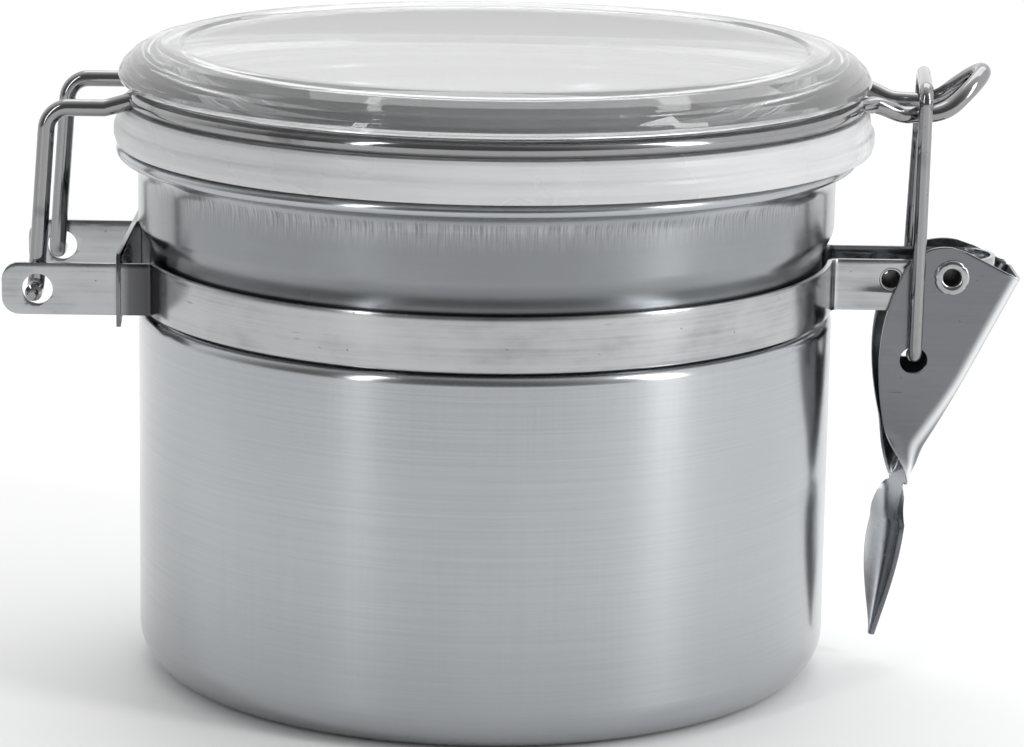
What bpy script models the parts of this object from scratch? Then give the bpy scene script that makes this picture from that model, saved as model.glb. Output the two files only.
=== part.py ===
"""Clamp-top food canister: a drawn steel can, a clear lid with a silicone seal, and a lever latch on a band.

The origin is the middle of the flat base. +X points to the latch, -X to the hinge, +Z up. Lengths are in metres.
"""

import math

import bmesh
import bpy
from mathutils import Vector

MM = 0.001
GAP = 0.3 * MM

# Can
CAN_RADIUS = 62.5 * MM
WALL = 0.8 * MM
CORNER_RADIUS = 7.5 * MM
GROOVE_DEPTH = 2.0 * MM
SHOULDER_Z = 64.2 * MM
SHOULDER_RADIUS = 2.0 * MM
NECK_FLARE_Z = 76.6 * MM
NECK_FLARE_HEIGHT = 5.6 * MM
RIM_FILLET_Z = 89.8 * MM
RIM_FILLET_RADIUS = 3.8 * MM
OUTER_FILLET_SWEEP = 72.0
INNER_FILLET_SWEEP = 48.0
CURL_RADIUS = 1.1 * MM
CURL_Z = 94.3 * MM
CURL_CENTRE_RADIUS = 65.3 * MM

# Clamp band
STRAP_THICKNESS = 0.8 * MM
STRAP_BOTTOM_Z = 66.9 * MM
STRAP_HEIGHT = 9.2 * MM
STRAP_RADIUS = CAN_RADIUS - GROOVE_DEPTH + GAP + STRAP_THICKNESS / 2
EAR_Y = 19.8 * MM
EAR_END_X = -84.9 * MM
EAR_BEND_RADIUS = 2.2 * MM
EAR_CORNER = 3.0 * MM
EAR_HOLE_RADIUS = 2.7 * MM
LUG_Y = 5.8 * MM
LUG_BEND_RADIUS = 3.0 * MM
LUG_TURN_X = 84.9 * MM

# Slotted clip that closes the band on the hinge side
CLIP_X = -64.4 * MM
CLIP_THICKNESS = 0.8 * MM
CLIP_HALF_WIDTH = 21.6 * MM
CLIP_BOTTOM_Z = 64.9 * MM
CLIP_TOP_Z = 78.0 * MM
CLIP_POINT_RISE = 1.5 * MM
CLIP_POINT_WIDTH = 5.0 * MM

# Lid hinge
HINGE_X = -79.3 * MM
HINGE_Z = 70.8 * MM
HINGE_PLAY = 0.64 * MM

# Lid and seal, which sit slightly towards the latch
LID_SHIFT = 1.2 * MM
WINDOW_RADIUS = 55.6 * MM
WINDOW_Z = 112.6 * MM
LID_THICKNESS = 2.4 * MM
LID_RADIUS = 67.2 * MM
LID_UNDERSIDE_Z = 106.5 * MM
WIRE_GROOVE_RADIUS = 63.4 * MM
SKIRT_RADIUS = 59.5 * MM
SKIRT_THICKNESS = 2.2 * MM
SKIRT_BOTTOM_Z = 91.0 * MM
SEAL_FLANGE_RADIUS = 64.3 * MM
SEAL_FLANGE_BOTTOM_Z = 98.9 * MM
SEAL_FLANGE_TOP_Z = 101.1 * MM
SEAL_RADIUS = 68.0 * MM
SEAL_BOTTOM_Z = CURL_Z + CURL_RADIUS + GAP
SEAL_TOP_Z = 102.8 * MM

# Lid wire
WIRE_RADIUS = 1.5 * MM
RING_RADIUS = 65.2 * MM
RING_Z = 104.6 * MM
ARM_Y = 17.5 * MM
ARM_Z = 103.1 * MM
ARM_TOP_X = -76.9 * MM
ARM_BEND_RADIUS = 4.0 * MM
ARM_TO_RING = 3.0 * MM
HINGE_BEND_RADIUS = 2.2 * MM
HINGE_SHANK_Y = 21.4 * MM
HINGE_TIP_Y = 24.0 * MM
HINGE_TIP_SHARE = 0.64
HOOK_Z = 102.65 * MM
HOOK_ROOT_Y = 10.5 * MM
HOOK_ROOT_RUN = 2.2 * MM
RING_END_SPARE = 2.6 * MM
HOOK_Y = 9.1 * MM
HOOK_TIP_Y = 7.8 * MM
HOOK_DROP = 1.7
HOOK_RISE_X = 77.9 * MM
HOOK_RISE_RADIUS = 7.7 * MM
HOOK_RISE_ANGLE = math.radians(42)
HOOK_TURN_RUN = 0.7 * MM
HOOK_TURN_DEPTH = 12.0 * MM

# Lever, in its own side view: s runs down the spine, h stands square to it towards the can
PIVOT_X = 83.4 * MM
PIVOT_Z = 73.2 * MM
LEVER_THICKNESS = 0.8 * MM
LEVER_HALF_WIDTH = 8.0 * MM
SPINE_TOP = Vector((95.9 * MM, 0, 72.8 * MM))
SPINE_ANGLE = math.radians(63.3)
SPINE_LENGTH = 44.0 * MM
CHEEK_DEPTH = 19.4 * MM
CHEEK_RUNOUT = 2.1
FRONT_CHEEK_TOP_DEPTH = 11.0 * MM
FRONT_CHEEK_ROUND = 8.0 * MM
BACK_CHEEK_TOP_DEPTH = 7.6 * MM
BACK_CHEEK_ROUND = 11.0 * MM
NECK_HALF_WIDTH = 2.6 * MM
NARROW_FROM = 0.45
NARROW_POWER = 1.6
NECK_TWIST_RUN = 9.0 * MM
TAB_LENGTH = 29.3 * MM
TAB_HALF_WIDTH = 4.7 * MM
TAB_TIP_HALF_WIDTH = 0.5 * MM
TAB_SWELL_SKEW = 0.8
TAB_SWELL_POWER = 1.05
TAB_BEND_SHARE = 0.25
TAB_DISH = 2.4 * MM
TAB_TWIST = math.radians(32)
TAB_LEAN = math.radians(82.5)
LEVER_HOLE_RADIUS = 2.5 * MM

# Bail
BAIL_RADIUS = 1.25 * MM
BAIL_PIVOT_X = 77.1 * MM
BAIL_PIVOT_Z = 58.85 * MM
BAIL_PLAY = 0.95 * MM
BAIL_FOOT_Y = 9.55 * MM
BAIL_TOP_Y = 12.3 * MM
BAIL_END_Y = 6.2 * MM
BAIL_TOP_X = 78.1 * MM
BAIL_TOP_Z = 107.5 * MM
BAIL_SKEW = 1.0 * MM
BAIL_FOOT_BEND = 1.7 * MM
BAIL_TOP_BEND = 2.6 * MM

# Eyelets
LUG_EYELET_X = 72.7 * MM
LUG_EYELET_Z = 72.5 * MM
EYELET_BORE = 1.55 * MM
LUG_EYELET_RADIUS = 1.9 * MM
LUG_EYELET_HEAD = 2.35 * MM
PIVOT_EYELET_RADIUS = 2.0 * MM
PIVOT_EYELET_HEAD = 3.2 * MM
EYELET_HEAD_THICKNESS = 0.45 * MM
HEAD_SEAT = 0.05 * MM

# Facets
CAN_SEGMENTS = 60
LID_SEGMENTS = 60
RING_STEP = math.radians(6)
WIRE_BEVEL = 3
SHARP_ANGLE = math.radians(35)


def clear_scene():
    """Removes every object, so that the file holds only this canister."""
    for obj in list(bpy.data.objects):
        bpy.data.objects.remove(obj, do_unlink=True)


def make_material(name, colour, roughness, metallic=0.0, transmission=0.0):
    """A Principled material in one plain finish."""
    material = bpy.data.materials.new(name)
    material.use_nodes = True
    shader = material.node_tree.nodes["Principled BSDF"]
    shader.inputs["Base Color"].default_value = (*colour, 1.0)
    shader.inputs["Roughness"].default_value = roughness
    shader.inputs["Metallic"].default_value = metallic
    shader.inputs["Transmission Weight"].default_value = transmission
    return material


def empty_at(name, place):
    """An empty on a joint's axis, which the moving pieces are parented to."""
    empty = bpy.data.objects.new(name, None)
    empty.location = place
    empty.empty_display_size = 0.01
    bpy.context.scene.collection.objects.link(empty)
    return empty


def add_object(name, data, material, pivot=None):
    """Links an object whose data is in world coordinates, and moves its origin to its pivot."""
    obj = bpy.data.objects.new(name, data)
    data.materials.append(material)
    bpy.context.scene.collection.objects.link(obj)
    if pivot is not None:
        data.transform(pivot.matrix_basis.inverted())
        obj.parent = pivot
    return obj


def finish_mesh(name, bm):
    """Closes a solid's seams, points its faces out and turns it into a smooth-shaded mesh."""
    bmesh.ops.remove_doubles(bm, verts=bm.verts, dist=1e-7)
    bmesh.ops.dissolve_degenerate(bm, edges=bm.edges, dist=1e-7)
    bmesh.ops.recalc_face_normals(bm, faces=bm.faces)
    return shaded_mesh(name, bm)


def shaded_mesh(name, bm):
    """Turns a bmesh into a smooth-shaded mesh with crisp edges."""
    mesh = bpy.data.meshes.new(name)
    bm.to_mesh(mesh)
    bm.free()
    mesh.shade_smooth()
    mesh.set_sharp_from_angle(angle=SHARP_ANGLE)
    return mesh


def lathe(profile, segments, centre_x=0.0):
    """Turns a closed outline of (radius, z) points round the vertical axis at centre_x."""
    bm = bmesh.new()
    points = [bm.verts.new((radius, 0.0, z)) for radius, z in profile]
    edges = [bm.edges.new(pair) for pair in zip(points, points[1:] + points[:1])]
    bmesh.ops.spin(
        bm,
        geom=points + edges,
        axis=(0, 0, 1),
        cent=(0, 0, 0),
        angle=math.tau,
        steps=segments,
        use_merge=True,
    )
    loose = [face for face in bm.faces if face.calc_area() < 1e-14]
    bmesh.ops.delete(bm, geom=loose, context="FACES")
    bmesh.ops.translate(bm, vec=(centre_x, 0, 0), verts=bm.verts)
    return bm


def arc(centre_r, centre_z, radius, start, end, steps):
    """Points of an arc in a side view, from one angle in degrees to the other, both ends included."""
    angles = [math.radians(start + (end - start) * i / steps) for i in range(steps + 1)]
    return [(centre_r + radius * math.cos(a), centre_z + radius * math.sin(a)) for a in angles]


def wall_offset(inset, fillet_sweep):
    """One face of the can's sheet, from the base up to the rim's fillet, inset from the outer face."""
    radius = CAN_RADIUS - inset
    floor_radius = radius - GROOVE_DEPTH
    corner_z = CORNER_RADIUS
    points = arc(CAN_RADIUS - CORNER_RADIUS, corner_z, CORNER_RADIUS - inset, -90, 0, 6)
    points += arc(floor_radius, SHOULDER_Z, SHOULDER_RADIUS, 0, 90, 3)
    steps = 5
    for i in range(steps + 1):
        share = (1 - math.cos(math.pi * i / steps)) / 2
        points.append((floor_radius + GROOVE_DEPTH * share, NECK_FLARE_Z + NECK_FLARE_HEIGHT * i / steps))
    centre_r = CAN_RADIUS + RIM_FILLET_RADIUS
    points += arc(centre_r, RIM_FILLET_Z, RIM_FILLET_RADIUS + inset, 180, 180 - fillet_sweep, 3)
    return points


def can_body(material):
    """Drawn can: rounded bottom corner, band groove, neck, flared rim and outward curl."""
    outer = wall_offset(0.0, OUTER_FILLET_SWEEP)
    inner = wall_offset(WALL, INNER_FILLET_SWEEP)
    curl = arc(CURL_CENTRE_RADIUS, CURL_Z, CURL_RADIUS, -75, 160, 7)
    profile = [(0.0, 0.0)] + outer + curl + inner[::-1] + [(0.0, WALL)]
    add_object("can_body", finish_mesh("can_body", lathe(profile, CAN_SEGMENTS)), material)


def bend(corner_centre, radius, start, end, steps):
    """Plan-view arc about a centre, between two angles in radians."""
    return [
        Vector((corner_centre[0] + radius * math.cos(a), corner_centre[1] + radius * math.sin(a)))
        for a in (start + (end - start) * i / steps for i in range(steps + 1))
    ]


def band_route():
    """The strap's middle line in plan, from the front ear round the can and the lug to the back ear."""
    ear_out = STRAP_RADIUS + EAR_BEND_RADIUS
    ear_angle = math.asin((EAR_Y + EAR_BEND_RADIUS) / ear_out)
    lug_out = STRAP_RADIUS + LUG_BEND_RADIUS
    lug_angle = math.asin((LUG_Y + LUG_BEND_RADIUS) / lug_out)
    ear_centre = (-ear_out * math.cos(ear_angle), -(EAR_Y + EAR_BEND_RADIUS))
    lug_centre = (lug_out * math.cos(lug_angle), -(LUG_Y + LUG_BEND_RADIUS))
    front = [Vector((EAR_END_X, -EAR_Y))]
    front += bend(ear_centre, EAR_BEND_RADIUS, math.pi / 2, ear_angle, 6)
    front += bend((0, 0), STRAP_RADIUS, math.pi + ear_angle, math.tau - lug_angle, 36)[1:-1]
    front += bend(lug_centre, LUG_BEND_RADIUS, math.pi - lug_angle, math.pi / 2, 6)
    front += bend((LUG_TURN_X, 0), LUG_Y, -math.pi / 2, 0, 6)
    back = [Vector((point.x, -point.y)) for point in front[-2::-1]]
    return front + back


def thick_ribbon(route, half_thickness):
    """The closed outline of a strip of even thickness about a plan route."""
    left, right = [], []
    last = len(route) - 1
    for i, point in enumerate(route):
        before = (point - route[i - 1]).normalized() if i else (route[1] - point).normalized()
        after = (route[i + 1] - point).normalized() if i < last else before
        along = (before + after).normalized()
        square = Vector((-along.y, along.x)) * half_thickness / along.dot(before)
        left.append(point + square)
        right.append(point - square)
    return left + right[::-1]


def prism(outline, bottom, height):
    """A plan outline raised to a height as a closed solid."""
    bm = bmesh.new()
    ring = [bm.verts.new((point[0], point[1], bottom)) for point in outline]
    count = len(ring) // 2
    faces = [bm.faces.new((ring[i], ring[i + 1], ring[-i - 2], ring[-i - 1])) for i in range(count - 1)]
    raised = bmesh.ops.extrude_face_region(bm, geom=faces)["geom"]
    bmesh.ops.translate(bm, vec=(0, 0, height), verts=[v for v in raised if isinstance(v, bmesh.types.BMVert)])
    bmesh.ops.recalc_face_normals(bm, faces=bm.faces)
    return bm


def cross_cutter(name, x, z, radius, half_length, sides=20):
    """A hidden cylinder along Y that cuts a hole."""
    bm = bmesh.new()
    bmesh.ops.create_cone(
        bm, cap_ends=True, segments=sides, radius1=radius, radius2=radius, depth=2 * half_length
    )
    for vert in bm.verts:
        vert.co = Vector((x + vert.co.x, vert.co.z, z + vert.co.y))
    return hidden_cutter(name, bm)


def box_cutter(name, low, high):
    """A hidden box that cuts a slot."""
    bm = bmesh.new()
    bmesh.ops.create_cube(bm, size=1.0)
    for vert in bm.verts:
        vert.co = Vector(low[i] + (high[i] - low[i]) * (vert.co[i] + 0.5) for i in range(3))
    return hidden_cutter(name, bm)


def hidden_cutter(name, bm):
    """Keeps a cutter in the scene without showing it as a part."""
    cutter = bpy.data.objects.new(name, finish_mesh(name, bm))
    cutter.hide_render = True
    cutter.display_type = "WIRE"
    bpy.context.scene.collection.objects.link(cutter)
    return cutter


def cut(obj, cutter):
    """Cuts one object with a hidden one."""
    modifier = obj.modifiers.new("cut_" + cutter.name, "BOOLEAN")
    modifier.operation = "DIFFERENCE"
    modifier.solver = "EXACT"
    modifier.object = cutter


def round_ear_ends(bm):
    """Rounds the corners of both ears' free ends."""
    top = STRAP_BOTTOM_Z + STRAP_HEIGHT
    corners = [
        edge
        for edge in bm.edges
        if all(abs(vert.co.x - EAR_END_X) < 1e-6 for vert in edge.verts)
        and abs(edge.verts[0].co.z - edge.verts[1].co.z) < 1e-6
        and min(abs(edge.verts[0].co.z - z) for z in (STRAP_BOTTOM_Z, top)) < 1e-6
    ]
    bmesh.ops.bevel(
        bm, geom=corners, offset=EAR_CORNER, segments=4, affect="EDGES", profile=0.5, material=-1
    )


def clamp_band(material):
    """One strip: two hinge ears, the hoop in the groove and the hairpin lug."""
    outline = thick_ribbon(band_route(), STRAP_THICKNESS / 2)
    bm = prism(outline, STRAP_BOTTOM_Z, STRAP_HEIGHT)
    round_ear_ends(bm)
    band = add_object("clamp_band", finish_mesh("clamp_band", bm), material)
    ear_hole = (HINGE_X + HINGE_PLAY, HINGE_Z + HINGE_PLAY)
    cut(band, cross_cutter("ear_holes", *ear_hole, EAR_HOLE_RADIUS, EAR_Y + 5 * MM))
    lug_hole = LUG_EYELET_RADIUS + GAP
    cut(band, cross_cutter("lug_holes", LUG_EYELET_X, LUG_EYELET_Z, lug_hole, 2 * LUG_Y, 16))
    pivot_hole = PIVOT_EYELET_RADIUS + GAP
    cut(band, cross_cutter("pivot_holes", PIVOT_X, PIVOT_Z, pivot_hole, 2 * LUG_Y, 16))


def hinge_clip(material):
    """Slotted plate across both ears, with a pointed lower corner at each end."""
    bm = bmesh.new()
    inner = CLIP_HALF_WIDTH - CLIP_POINT_WIDTH
    low_inner = CLIP_BOTTOM_Z + CLIP_POINT_RISE
    outline = [
        (-CLIP_HALF_WIDTH, CLIP_TOP_Z),
        (-CLIP_HALF_WIDTH, CLIP_BOTTOM_Z),
        (-inner, low_inner),
        (inner, low_inner),
        (CLIP_HALF_WIDTH, CLIP_BOTTOM_Z),
        (CLIP_HALF_WIDTH, CLIP_TOP_Z),
    ]
    face = bm.faces.new([bm.verts.new((CLIP_X - CLIP_THICKNESS / 2, y, z)) for y, z in outline])
    raised = bmesh.ops.extrude_face_region(bm, geom=[face])["geom"]
    moved = [v for v in raised if isinstance(v, bmesh.types.BMVert)]
    bmesh.ops.translate(bm, vec=(CLIP_THICKNESS, 0, 0), verts=moved)
    clip = add_object("hinge_clip", finish_mesh("hinge_clip", bm), material)
    half_slot = STRAP_THICKNESS / 2 + GAP
    slot_top = STRAP_BOTTOM_Z + STRAP_HEIGHT + GAP
    for side, label in ((-1, "front"), (1, "back")):
        low = (CLIP_X - 2 * MM, side * EAR_Y - half_slot, STRAP_BOTTOM_Z - GAP)
        high = (CLIP_X + 2 * MM, side * EAR_Y + half_slot, slot_top)
        cut(clip, box_cutter("clip_slot_" + label, low, high))


def eyelet(name, x, z, seat_y, radius, head_radius, material):
    """Hollow rivet along Y with a rolled head at each end."""
    seat = seat_y + HEAD_SEAT
    edge = EYELET_HEAD_THICKNESS
    half = [
        (EYELET_BORE, 0.0),
        (EYELET_BORE, seat + 0.6 * edge),
        (EYELET_BORE + 0.4 * edge, seat + edge),
        (head_radius - 0.4 * edge, seat + edge),
        (head_radius, seat + 0.5 * edge),
        (head_radius - 0.3 * edge, seat),
        (radius, seat),
        (radius, 0.0),
    ]
    mirrored = [(r, -length) for r, length in half[-2:0:-1]]
    bm = lathe(half + mirrored, 20)
    for vert in bm.verts:
        vert.co = Vector((x + vert.co.x, -vert.co.z, z + vert.co.y))
    add_object(name, finish_mesh(name, bm), material)


def lid(material, pivot):
    """Clear lid: flat window, raised round shoulder, wire groove, seal flange and skirt."""
    window_edge = [(0.0, WINDOW_Z), (WINDOW_RADIUS, WINDOW_Z)]
    shoulder = [
        (WINDOW_RADIUS + 0.7 * MM, WINDOW_Z + 0.6 * MM),
        (59.6 * MM, WINDOW_Z + 0.6 * MM),
        (62.4 * MM, WINDOW_Z - 0.1 * MM),
        (64.6 * MM, WINDOW_Z - 1.3 * MM),
        (66.2 * MM, WINDOW_Z - 2.8 * MM),
        (LID_RADIUS - 0.2 * MM, WINDOW_Z - 4.1 * MM),
        (LID_RADIUS, WINDOW_Z - 4.9 * MM),
        (LID_RADIUS - 0.3 * MM, LID_UNDERSIDE_Z + 0.4 * MM),
        (LID_RADIUS - 1.2 * MM, LID_UNDERSIDE_Z),
    ]
    groove = [
        (WIRE_GROOVE_RADIUS, LID_UNDERSIDE_Z),
        (WIRE_GROOVE_RADIUS, SEAL_TOP_Z + GAP),
        (SKIRT_RADIUS, SEAL_TOP_Z + GAP),
    ]
    flange = [
        (SKIRT_RADIUS, SEAL_FLANGE_TOP_Z),
        (SEAL_FLANGE_RADIUS, SEAL_FLANGE_TOP_Z),
        (SEAL_FLANGE_RADIUS, SEAL_FLANGE_BOTTOM_Z),
        (SKIRT_RADIUS, SEAL_FLANGE_BOTTOM_Z),
        (SKIRT_RADIUS, SKIRT_BOTTOM_Z),
    ]
    inner_skirt = SKIRT_RADIUS - SKIRT_THICKNESS
    inner_groove = WIRE_GROOVE_RADIUS - SKIRT_THICKNESS
    inside = [
        (inner_skirt, SKIRT_BOTTOM_Z),
        (inner_skirt, SEAL_TOP_Z + 1.5 * MM),
        (inner_skirt + 0.8 * MM, SEAL_TOP_Z + 2.3 * MM),
        (inner_groove, SEAL_TOP_Z + 2.3 * MM),
        (inner_groove, LID_UNDERSIDE_Z + 1.8 * MM),
        (inner_groove - 1.4 * MM, WINDOW_Z - LID_THICKNESS + 0.4 * MM),
        (WINDOW_RADIUS, WINDOW_Z - LID_THICKNESS),
        (0.0, WINDOW_Z - LID_THICKNESS),
    ]
    bm = lathe(window_edge + shoulder + groove + flange + inside, LID_SEGMENTS, LID_SHIFT)
    add_object("lid", finish_mesh("lid", bm), material, pivot)


def gasket(material, pivot):
    """Seal ring with an inward channel for the lid's flange and a lip that stands proud at the bottom."""
    inner = SKIRT_RADIUS + GAP
    profile = [
        (inner, SEAL_TOP_Z),
        (66.3 * MM, SEAL_TOP_Z),
        (67.0 * MM, SEAL_TOP_Z - 0.6 * MM),
        (67.2 * MM, SEAL_TOP_Z - 1.6 * MM),
        (67.3 * MM, 99.6 * MM),
        (SEAL_RADIUS - 0.2 * MM, 99.2 * MM),
        (SEAL_RADIUS, 98.6 * MM),
        (SEAL_RADIUS, 97.2 * MM),
        (SEAL_RADIUS - 0.4 * MM, SEAL_BOTTOM_Z + 0.2 * MM),
        (66.8 * MM, SEAL_BOTTOM_Z),
        (63.0 * MM, SEAL_BOTTOM_Z),
        (inner, SEAL_BOTTOM_Z + 1.2 * MM),
        (inner, SEAL_FLANGE_BOTTOM_Z - GAP),
        (SEAL_FLANGE_RADIUS + GAP, SEAL_FLANGE_BOTTOM_Z - GAP),
        (SEAL_FLANGE_RADIUS + GAP, SEAL_FLANGE_TOP_Z + GAP),
        (inner, SEAL_FLANGE_TOP_Z + GAP),
    ]
    add_object("gasket", finish_mesh("gasket", lathe(profile, LID_SEGMENTS, LID_SHIFT)), material, pivot)


def wire_curve(name, points, radius, shares=None):
    """A round wire along a list of points. Shares thin it at single points."""
    data = bpy.data.curves.new(name, "CURVE")
    data.dimensions = "3D"
    data.bevel_depth = radius
    data.bevel_resolution = WIRE_BEVEL
    data.use_fill_caps = True
    spline = data.splines.new("POLY")
    spline.points.add(len(points) - 1)
    for i, point in enumerate(points):
        spline.points[i].co = (*point, 1.0)
        spline.points[i].radius = shares[i] if shares else 1.0
    spline.use_smooth = True
    return data


def fillet_path(corners, radii, steps=6):
    """Replaces each inner corner of a 3-D path with an arc of its own radius."""
    path = [corners[0]]
    for before, corner, after, radius in zip(corners, corners[1:], corners[2:], radii):
        inward = (before - corner).normalized()
        outward = (after - corner).normalized()
        half = inward.angle(outward) / 2
        reach = radius / math.tan(half)
        centre = corner + (inward + outward).normalized() * radius / math.sin(half)
        start = corner + inward * reach - centre
        end = corner + outward * reach - centre
        turn = start.angle(end)
        for i in range(steps + 1):
            share = i / steps
            spoke = start * math.sin((1 - share) * turn) + end * math.sin(share * turn)
            path.append(centre + spoke / math.sin(turn))
    path.append(corners[-1])
    return path


def hinge_arm(side):
    """One arm of the lid wire, from its necked hinge tip up and over to the ring. Returns points and shares."""
    corners = [
        Vector((HINGE_X, side * HINGE_SHANK_Y, HINGE_Z)),
        Vector((HINGE_X, side * ARM_Y, HINGE_Z)),
        Vector((ARM_TOP_X, side * ARM_Y, ARM_Z)),
        Vector((LID_SHIFT - RING_RADIUS - ARM_TO_RING, side * ARM_Y, ARM_Z)),
    ]
    bent = fillet_path(corners, (HINGE_BEND_RADIUS, ARM_BEND_RADIUS))
    neck = Vector((HINGE_X, side * (HINGE_SHANK_Y + 0.2 * MM), HINGE_Z))
    tip = Vector((HINGE_X, side * HINGE_TIP_Y, HINGE_Z))
    shares = [HINGE_TIP_SHARE, HINGE_TIP_SHARE] + [1.0] * len(bent)
    return [tip, neck] + bent, shares


def eased(share):
    """A smooth rise from 0 to 1 as the share goes from 0 to 1, level outside that range."""
    share = min(1.0, max(0.0, share))
    return share * share * (3 - 2 * share)


def hook_point(run, y):
    """A point of the hook loop, a distance along its side view: level, then curving up, then straight."""
    level = HOOK_RISE_X
    bend_run = HOOK_RISE_RADIUS * HOOK_RISE_ANGLE
    if run <= level:
        return Vector((run, y, HOOK_Z))
    turned = min(run - level, bend_run) / HOOK_RISE_RADIUS
    x = level + HOOK_RISE_RADIUS * math.sin(turned)
    z = HOOK_Z + HOOK_RISE_RADIUS * (1 - math.cos(turned))
    straight = max(run - level - bend_run, 0.0)
    return Vector((x + straight * math.cos(HOOK_RISE_ANGLE), y, z + straight * math.sin(HOOK_RISE_ANGLE)))


def hook_half(side):
    """Half of the hook loop, from the ring out to the middle of its round tip."""
    start = LID_SHIFT + math.sqrt(RING_RADIUS**2 - HOOK_ROOT_Y**2) + HOOK_ROOT_RUN
    turn_start = HOOK_RISE_X + HOOK_TURN_RUN
    points = []
    steps = 8
    for i in range(1, steps + 1):
        share = i / steps
        y = HOOK_ROOT_Y + (HOOK_Y - HOOK_ROOT_Y) * eased(1.8 * share)
        y += (HOOK_TIP_Y - HOOK_Y) * eased(2 * share - 1)
        point = hook_point(start + (turn_start - start) * share, side * y)
        point.z += (RING_Z - HOOK_Z) * (1 - eased(HOOK_DROP * share))
        points.append(point)
    turn_steps = 10
    for i in range(1, turn_steps + 1):
        angle = math.pi / 2 * i / turn_steps
        run = turn_start + HOOK_TURN_DEPTH * math.sin(angle)
        points.append(hook_point(run, side * HOOK_TIP_Y * math.cos(angle)))
    return points


def ring_half(side):
    """Half of the ring in the lid's groove, from the arm to the hook."""
    start = math.pi - math.asin(ARM_Y / RING_RADIUS)
    end = math.asin((HOOK_ROOT_Y + RING_END_SPARE) / RING_RADIUS)
    steps = round((start - end) / RING_STEP)
    angles = [start + (end - start) * i / steps for i in range(steps + 1)]
    return [
        Vector((LID_SHIFT + RING_RADIUS * math.cos(a), side * RING_RADIUS * math.sin(a), RING_Z))
        for a in angles
    ]


def lid_wire(material, pivot):
    """One wire: hinge tips, arms, the ring round the lid and the upturned hook loop."""
    arm, shares = hinge_arm(-1)
    half = arm + ring_half(-1) + hook_half(-1)
    shares += [1.0] * (len(half) - len(shares))
    mirrored = [Vector((point.x, -point.y, point.z)) for point in half[-2::-1]]
    data = wire_curve("lid_wire", half + mirrored, WIRE_RADIUS, shares + shares[-2::-1])
    add_object("lid_wire", data, material, pivot)


def cheek_depth(s, across):
    """How far a cheek stands off the spine, at a distance down the spine. The back one's top is cut lower."""
    back = across > 0
    top_depth = BACK_CHEEK_TOP_DEPTH if back else FRONT_CHEEK_TOP_DEPTH
    rounding = BACK_CHEEK_ROUND if back else FRONT_CHEEK_ROUND
    share = max(0.0, s - FRONT_CHEEK_ROUND) / (SPINE_LENGTH - FRONT_CHEEK_ROUND)
    depth = CHEEK_DEPTH * (1 - share**CHEEK_RUNOUT)
    if s < rounding:
        rise = math.sqrt(max(0.0, 1 - (1 - s / rounding) ** 2))
        depth = top_depth + (depth - top_depth) * rise
    return depth


def lever_section(run):
    """Frame of the lever's sheet at a distance from its top: place, side-view axes, half width and twist."""
    along = Vector((-math.cos(SPINE_ANGLE), 0, -math.sin(SPINE_ANGLE)))
    if run <= SPINE_LENGTH:
        place = SPINE_TOP + along * run
        narrow = max(0.0, (run / SPINE_LENGTH - NARROW_FROM) / (1 - NARROW_FROM)) ** NARROW_POWER
        half = LEVER_HALF_WIDTH + (NECK_HALF_WIDTH - LEVER_HALF_WIDTH) * narrow
        twist = TAB_TWIST * eased(1 - (SPINE_LENGTH - run) / NECK_TWIST_RUN)
        return place, along, half, twist, 0.0
    share = (run - SPINE_LENGTH) / TAB_LENGTH
    lean = SPINE_ANGLE + (TAB_LEAN - SPINE_ANGLE) * min(1.0, share / TAB_BEND_SHARE)
    tab_along = Vector((-math.cos(lean), 0, -math.sin(lean)))
    place = SPINE_TOP + along * SPINE_LENGTH + tab_along * (run - SPINE_LENGTH)
    swell = math.sin(math.pi * share**TAB_SWELL_SKEW) ** TAB_SWELL_POWER if 0 < share < 1 else 0.0
    half = NECK_HALF_WIDTH * (1 - share) + TAB_TIP_HALF_WIDTH * share
    half += (TAB_HALF_WIDTH - NECK_HALF_WIDTH / 2) * swell
    return place, tab_along, half, TAB_TWIST, TAB_DISH * swell


def lever_point(run, across):
    """A point of the lever's outer face. Across goes from -1, the front cheek's edge, to 1, the back one's."""
    place, along, half, twist, dish = lever_section(run)
    square = Vector((along.z, 0, -along.x))
    depth = cheek_depth(run, across) if run < SPINE_LENGTH else 0.0
    travel = abs(across) * (depth + half)
    y = math.copysign(min(travel, half), across)
    h = max(0.0, travel - half) + dish * (across * across - 0.5)
    turned = Vector((-math.sin(twist) * y, math.cos(twist) * y, 0))
    inward = square * math.cos(twist) - Vector((0, math.sin(twist), 0))
    return place + turned + inward * h


def latch_lever(material, pivot):
    """Pressed lever: a channel whose cheeks run out at the neck, then a dished and twisted finger tab."""
    rows = 26
    columns = 12
    total = SPINE_LENGTH + TAB_LENGTH
    bm = bmesh.new()
    bmesh.ops.create_grid(bm, x_segments=rows, y_segments=columns, size=1.0)
    for vert in bm.verts:
        vert.co = lever_point(total * (vert.co.x + 1) / 2, vert.co.y)
    lever = add_object("latch_lever", shaded_mesh("latch_lever", bm), material, pivot)
    sheet = lever.modifiers.new("sheet", "SOLIDIFY")
    sheet.thickness = LEVER_THICKNESS
    sheet.offset = -1.0
    sheet.use_even_offset = True
    pivot_hole = PIVOT_EYELET_RADIUS + GAP
    reach = 2 * LEVER_HALF_WIDTH
    cut(lever, cross_cutter("lever_pivot_holes", PIVOT_X, PIVOT_Z, pivot_hole, reach, 16))
    hole_z = BAIL_PIVOT_Z - BAIL_PLAY
    cut(lever, cross_cutter("lever_bail_holes", BAIL_PIVOT_X, hole_z, LEVER_HOLE_RADIUS, reach))


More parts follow.
